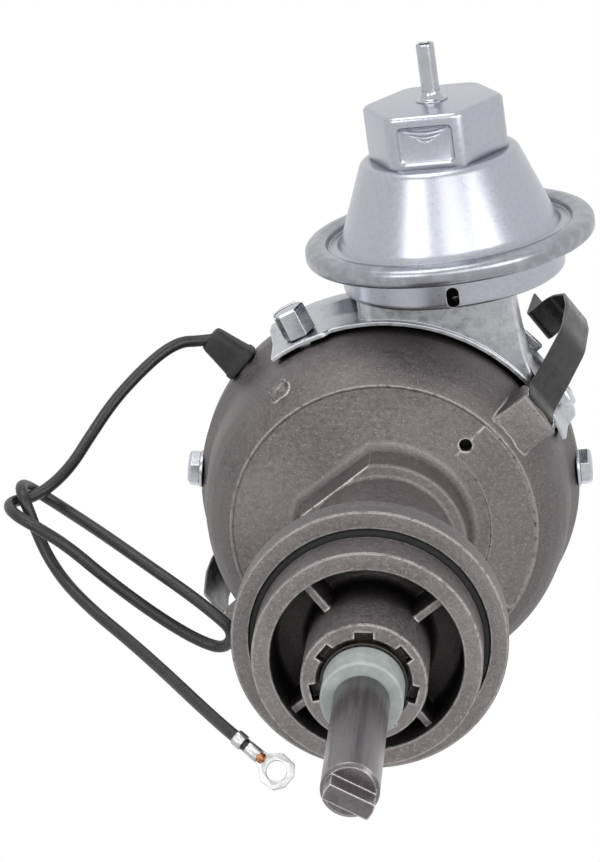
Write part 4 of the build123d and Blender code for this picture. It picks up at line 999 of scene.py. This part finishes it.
def makeBracket(settings):
    start, end = settings["angles"]
    outline = softCorners(settings["outline"])
    low = outline[0][1]
    first, last = settings["lowerEnd"]["angles"]
    waves = settings["waves"]
    rings = []
    for k in range(settings["steps"] + 1):
        angle = start + (end - start) * (k / settings["steps"])
        turn = radians(angle)
        drop = settings["lowerEnd"]["drop"] * min(max((last - angle) / (last - first), 0.0), 1.0)
        drop += waves["depth"] * noise.noise((angle * waves["share"], 0, 0))
        ring = []
        for r, z in outline:
            z -= drop * max(0.0, 1 - (z - low) / settings["dropHeight"])
            ring.append((r * cos(turn), r * sin(turn), z))
        rings.append(ring)
    saddle = loftedPiece("vacuumBracket", rings)
    rings = []
    fold = settings["foldRound"]
    for distance, left, right, low, high, corner in settings["neck"]:
        corners = [(left, low, corner), (right, low, fold), (right, high, corner), (left, high, corner)]
        rings.append([(x, -distance, z) for x, z in softCorners(corners)])
    neck = loftedPiece("neck", rings)
    combine(neck, [turnedPiece("inside", settings["insideOf"], settings["insideSteps"])])
    part = settings["tab"]
    tab = arcPoints(part["outer"], *part["angles"], part["steps"])
    tab += arcPoints(part["inner"], *part["angles"], part["steps"])[::-1]
    combine(saddle, [neck, barPiece("tab", tab, *part["heights"])], "UNION", crossing=True)
    cuts = []
    for angle, height, radius in settings["holes"]:
        cuts.append(roundBar(radius, *settings["holeReach"], outward(angle, height)))
    cuts.append(windowBar(rodWindow, settings["windowFront"]))
    combine(saddle, cuts)
    dress(saddle, "bracketZinc", ["vacuum_bracket"], angle=30)


makeBracket(bracket)
print("bracket made")


# Hexagon-head screws with a slot

screws = {
    # places: (angle, height, seat's distance from the shaft, head, turn of the slot)
    "plate": {
        "node": "plate_screws", "places": ((-169.0, 104.5, 49.9, 3.0, 25), (1.5, 104.5, 49.9, 3.0, -20)),
        "flats": 8.4, "thread": 2.2, "threadFrom": 42.9,
    },
    "bracket": {
        "node": "bracket_screws", "places": ((-109.0, 92.5, 49.9, 7.6, 10), (-25.0, 97.0, 51.52, 3.0, 35)),
        "flats": 7.5, "thread": 2.4, "threadFrom": 43.6,
    },
}
screwHead = {
    # rings: (height over the seat or over the head's end, share of the full width)
    "foot": ((0.0, 0.97), (0.15, 1.0)),
    "crown": ((-0.8, 1.0), (-0.25, 0.93), (0.0, 0.82), (0.18, 0.5)),
    "corner": 0.25,
    "slot": 1.3,
    "slotDepth": 1.3,
    "slotOver": 2,
    "shankOver": 0.5,
}
washer = {"inner": 2.3, "outer": 4.9, "heights": (49.0, 49.9), "rounding": (0.2, 0.3, 0.2), "steps": 64}


def makeScrew(screw, settings, angle, height, seat, head, turn):
    place = outward(angle, height, seat)
    levels = [*settings["foot"], *((head + level, share) for level, share in settings["crown"])]
    outline = hexOutline(screw["flats"], settings["corner"])
    rings = [[(x * share, y * share, level) for x, y in outline] for level, share in levels]
    body = loftedPiece("screw", rings, place)
    half = settings["slot"] / 2
    slot = [turnedPoint(x, y, turn) for x, y in boxOutline(-screw["flats"], screw["flats"], -half, half)]
    low, high = head - settings["slotDepth"], head + settings["slotOver"]
    combine(body, [barPiece("slot", slot, low, high, place)])
    shank = roundBar(screw["thread"], screw["threadFrom"] - seat, settings["shankOver"], place)
    combine(body, [shank], "UNION")
    smooth(body, angle=24)
    return body


def makeWasher(settings, angle, height):
    low, high = settings["heights"]
    inner, outer = settings["inner"], settings["outer"]
    corners = zip((outer, outer, inner), (low, high, high), settings["rounding"])
    outline = softCorners([(inner, low), *corners])
    ring = turnedPiece("ring", outline, settings["steps"], outward(angle, height))
    smooth(ring, angle=35)
    return ring


for kind, screw in screws.items():
    made = [makeScrew(screw, screwHead, *place) for place in screw["places"]]
    dress(joinPieces(kind + "Screws", made), "screwZinc", [screw["node"]])
made = [makeWasher(washer, *place[:2]) for place in screws["plate"]["places"]]
dress(joinPieces("plateScrewWashers", made), "screwZinc", ["plate_screw_washers"])
print("screws made")


# Cap clips, each a spring strap rolled round its pin

clip = {
    "pin": (48.4, 75.6),
    "width": 9.4,
    "thickness": 0.8,
    "edgeRound": 0.24,
    "crown": 0.12,
    "eye": 1.65,
    "eyeTurns": (-290, 0, 12),  # from, to and step, in degrees
    "step": 1.5,
    "line": [
        # (out from the pin, up from it, bend)
        (1.7, 0.0), (2.1, 6.0, 6.0), (7.2, 19.1, 20.0), (12.4, 33.9, 20.0), (13.9, 51.0, 20.0),
        (13.2, 61.0, 6.0), (8.2, 69.0, 5.0), (0.6, 67.2, 1.2), (3.0, 81.0),
    ],
    "bodies": (("capClipOne", -31.5, "cap_clip_one"), ("capClipTwo", 148.5, "cap_clip_two")),
}


def strapRings(line, settings):
    rings = []
    wide, thick = settings["width"] / 2, settings["thickness"] / 2
    outline = boxOutline(-wide, wide, -thick, thick, settings["edgeRound"])
    for k, (out, up) in enumerate(line):
        before = Vector(line[max(k - 1, 0)])
        after = Vector(line[min(k + 1, len(line) - 1)])
        along = (after - before).normalized()
        across = Vector((along.y, -along.x))
        ring = []
        for side, depth in outline:
            lift = depth - settings["crown"] * (side / wide) ** 2
            ring.append((out + across.x * lift, side, up + across.y * lift))
        rings.append(ring)
    return rings


def makeClip(name, settings, angle, body):
    eye = settings["eye"]
    turns = [radians(turn) for turn in range(*settings["eyeTurns"])]
    line = [(eye * cos(turn), eye * sin(turn)) for turn in turns]
    bent = softCorners(settings["line"], closed=False)
    for start, end in zip(bent, bent[1:]):
        steps = max(1, round(math.dist(start, end) / settings["step"]))
        for k in range(steps):
            line.append(tuple(Vector(start).lerp(Vector(end), k / steps)))
    line.append(bent[-1])
    pinPlace, pinHeight = settings["pin"]
    strap = loftedPiece(name, strapRings(line, settings), turnedBy(angle, (pinPlace, 0, pinHeight)))
    dress(strap, "clipSteel", [body], body, angle=40)


for name, angle, body in clip["bodies"]:
    makeClip(name, clip, angle, body)
print("clips made")


# Grommet where the lead wire leaves the bowl

grommet = {
    "angle": -132.5,
    "height": 105.0,
    "sections": [
        # (distance from the shaft, width, height, rounding)
        (41.8, 7.6, 7.6, 3.7), (42.1, 8.3, 8.3, 4.1), (43.1, 8.3, 8.3, 4.1), (43.4, 7.8, 7.8, 3.8),
        (43.4, 6.3, 6.3, 3.1), (49.6, 6.3, 6.3, 3.1), (49.6, 8.8, 6.8, 1.6), (49.9, 9.6, 7.6, 1.9),
        (51.3, 9.6, 7.6, 1.9), (51.7, 9.0, 7.1, 1.9), (53.5, 8.5, 6.8, 2.0), (56.5, 7.7, 6.3, 2.1),
        (59.6, 6.9, 5.8, 2.1), (60.6, 6.5, 5.5, 2.2), (61.0, 5.6, 4.8, 2.2),
    ],
}


def makeGrommet(settings):
    rings = []
    for distance, width, tall, corner in settings["sections"]:
        outline = boxOutline(-width / 2, width / 2, -tall / 2, tall / 2, corner)
        rings.append([(x, y, distance) for x, y in outline])
    boot = loftedPiece("wireGrommet", rings, outward(settings["angle"], settings["height"]))
    dress(boot, "blackRubber", ["grommet"], angle=50)


makeGrommet(grommet)


# Ring terminal: plate with its hole, two crimped barrels and a bit of bare strand

terminal = {
    "centre": (-23.77, 22.92, -16.0),
    "wireEnd": (-31.4, 16.9, -11.2),
    "normal": (-0.048, -0.584, -0.811),
    "outline": [
        # half of the plate's outline: (along, across, rounding)
        (4.0, 1.7, 0.9), (2.3, 3.9, 0.9), (-1.6, 4.15, 1.2), (-3.6, 2.2, 0.8), (-4.6, 1.7, 0.6), (-11.5, 1.5),
    ],
    "hole": (2.4, -2, 2),  # radius, and from where to where it is cut
    "thickness": 0.8,
    "edgeRound": 0.15,
    "lift": 0.9,  # how far the barrels lie above the plate's middle
    "barrels": [
        # (start, end, half width, half height, crease), back along the terminal
        ("strandCrimp", -8.8, -5.2, 1.6, 1.2, 0.25),
        ("sleeveCrimp", -12.5, -9.9, 1.95, 1.9, 0.12),
    ],
    "barrelSteps": 48,
    "barrelEnds": ((0.0, 0.92), (0.25, 1.0)),  # (from the end, share of the full width)
    "creaseWidth": 16,
    "strandSteps": 16,
    "strandRough": {"cuts": 1, "depth": 0.35, "size": 0.6, "seed": 4},
    "sleeveEnd": {"radius": 1.45, "length": 2.6, "start": -11.4, "lift": 0.3, "steps": 32},
    "strand": ((-6.4, 0.8), (-5.2, 1.15), (-4.6, 1.2), (-4.1, 0.9), (-3.8, 0.4)),
}


def terminalPlace(settings):
    centre = Vector(settings["centre"])
    along = (centre - Vector(settings["wireEnd"])).normalized()
    side = Vector(settings["normal"]).cross(along).normalized()
    normal = along.cross(side)

    def place(x, y, z):
        return (centre + along * x + side * y + normal * z) * mm
    return place


def makeBarrel(settings, place, name, start, end, wide, tall, crease):
    ends = settings["barrelEnds"]
    levels = [(start + reach, share) for reach, share in ends]
    levels += [(end - reach, share) for reach, share in reversed(ends)]
    steps = settings["barrelSteps"]
    rings = []
    for level, share in levels:
        section = []
        for k in range(steps):
            turn = 2 * pi * k / steps
            pinch = 1 - crease * math.exp(-((math.degrees(turn) - 90) / settings["creaseWidth"]) ** 2)
            across = wide * share * cos(turn) * pinch
            section.append((level, across, tall * share * sin(turn) * pinch + settings["lift"]))
        rings.append(section)
    return loftedPiece(name, rings, place)


def makeTerminal(settings):
    place = terminalPlace(settings)
    half = settings["thickness"] / 2
    corners = settings["outline"]
    mirrored = [(point[0], -point[1], *point[2:]) for point in corners]
    plate = barPiece("leadTerminal", softCorners(corners + mirrored[::-1]), -half, half, place)
    combine(plate, [roundBar(*settings["hole"], place)])
    roundEdges(plate, settings["edgeRound"], angle=50, segments=2)
    barrels = [makeBarrel(settings, place, *barrel) for barrel in settings["barrels"]]
    joined = joinPieces("leadTerminal", [plate, *barrels])
    dress(joined, "tinPlate", ["lead_terminal"], angle=40)
    rings = []
    for level, radius in settings["strand"]:
        section = circlePoints(radius, settings["strandSteps"])
        rings.append([(level, y, z + settings["lift"]) for y, z in section])
    strand = loftedPiece("bareStrand", rings, place)
    roughened(strand, **settings["strandRough"])
    dress(strand, "copperStrand", angle=60)
    part = settings["sleeveEnd"]

    def alongWire(x, y, z):
        return place(z + part["start"], x, y + part["lift"])
    outline = [(0, 0), (part["radius"], 0), (part["radius"], part["length"]), (0, part["length"])]
    stub = turnedPiece("sleeveEnd", outline, part["steps"], alongWire)
    dress(stub, "wireSleeve", angle=35)
    return joined, strand, stub


terminalPieces = makeTerminal(terminal)
dress(leadWire, "wireSleeve", ["lead_wire"])
list(terminalPieces)
print("grommet, terminal and wire made")


# Pieces that keep their solid shape

solidFinishes = {
    "shaftSteel": ["drive_shaft", "collar_pin", "clip_pins", "weight_pins"],
    "collarNylon": ["shaft_collar"],
    "darkSteel": [
        "hub_thrust_washer", "top_thrust_washer", "cam_ring", "governor_springs", "breaker_spring",
        "diaphragm_cup",
    ],
    "bushingBronze": ["lower_bushing", "upper_bushing", "plate_bearing", "terminal_screw"],
    "sealRubberInShade": ["pilot_seal_ring"],
    "plateSteel": [
        "governor_plate", "cam_yoke", "fixed_breaker_plate", "moving_breaker_plate", "plate_ring",
        "contact_base", "contact_support", "breaker_arm", "condenser_strap", "vacuum_rod",
    ],
    "camSteel": [
        "cam_sleeve", "weight_one", "weight_two", "rod_pin", "pivot_post", "fixed_contact", "moving_contact",
    ],
    "screwZinc": ["lock_screw", "condenser_screw"],
    "tinPlate": ["condenser"],
    "fibreBlock": ["rubbing_block"],
    "terminalPlastic": ["contact_terminal"],
    "feltWick": ["cam_wick"],
    "padPlastic": ["plate_pads"],
    "wireSleeve": ["condenser_lead", "primary_lead"],
    "diaphragmCloth": ["diaphragm"],
}
for finish, names in solidFinishes.items():
    for name in names:
        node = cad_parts[name]
        node.data.materials.clear()
        node.data.materials.append(finishes[finish])
print("solid pieces dressed")


# Diaphragm spring, copied from the solid's coil with a mesh of its own; the real one shortens as the
# diaphragm is drawn out

diaphragmSpring = {
    "node": "vacuum_spring",
    "finish": "darkSteel",
    "joint": "rod_pull",
    "axis": (0, 1, 0),
    "travel": 4.1,
}


def makeSpring(settings):
    coil = addObject("diaphragmSpring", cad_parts[settings["node"]].data.copy())
    dress(coil, settings["finish"], [settings["node"]])
    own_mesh(coil)


makeSpring(diaphragmSpring)
print("spring made")

bpy.context.scene.view_settings.view_transform = "Standard"
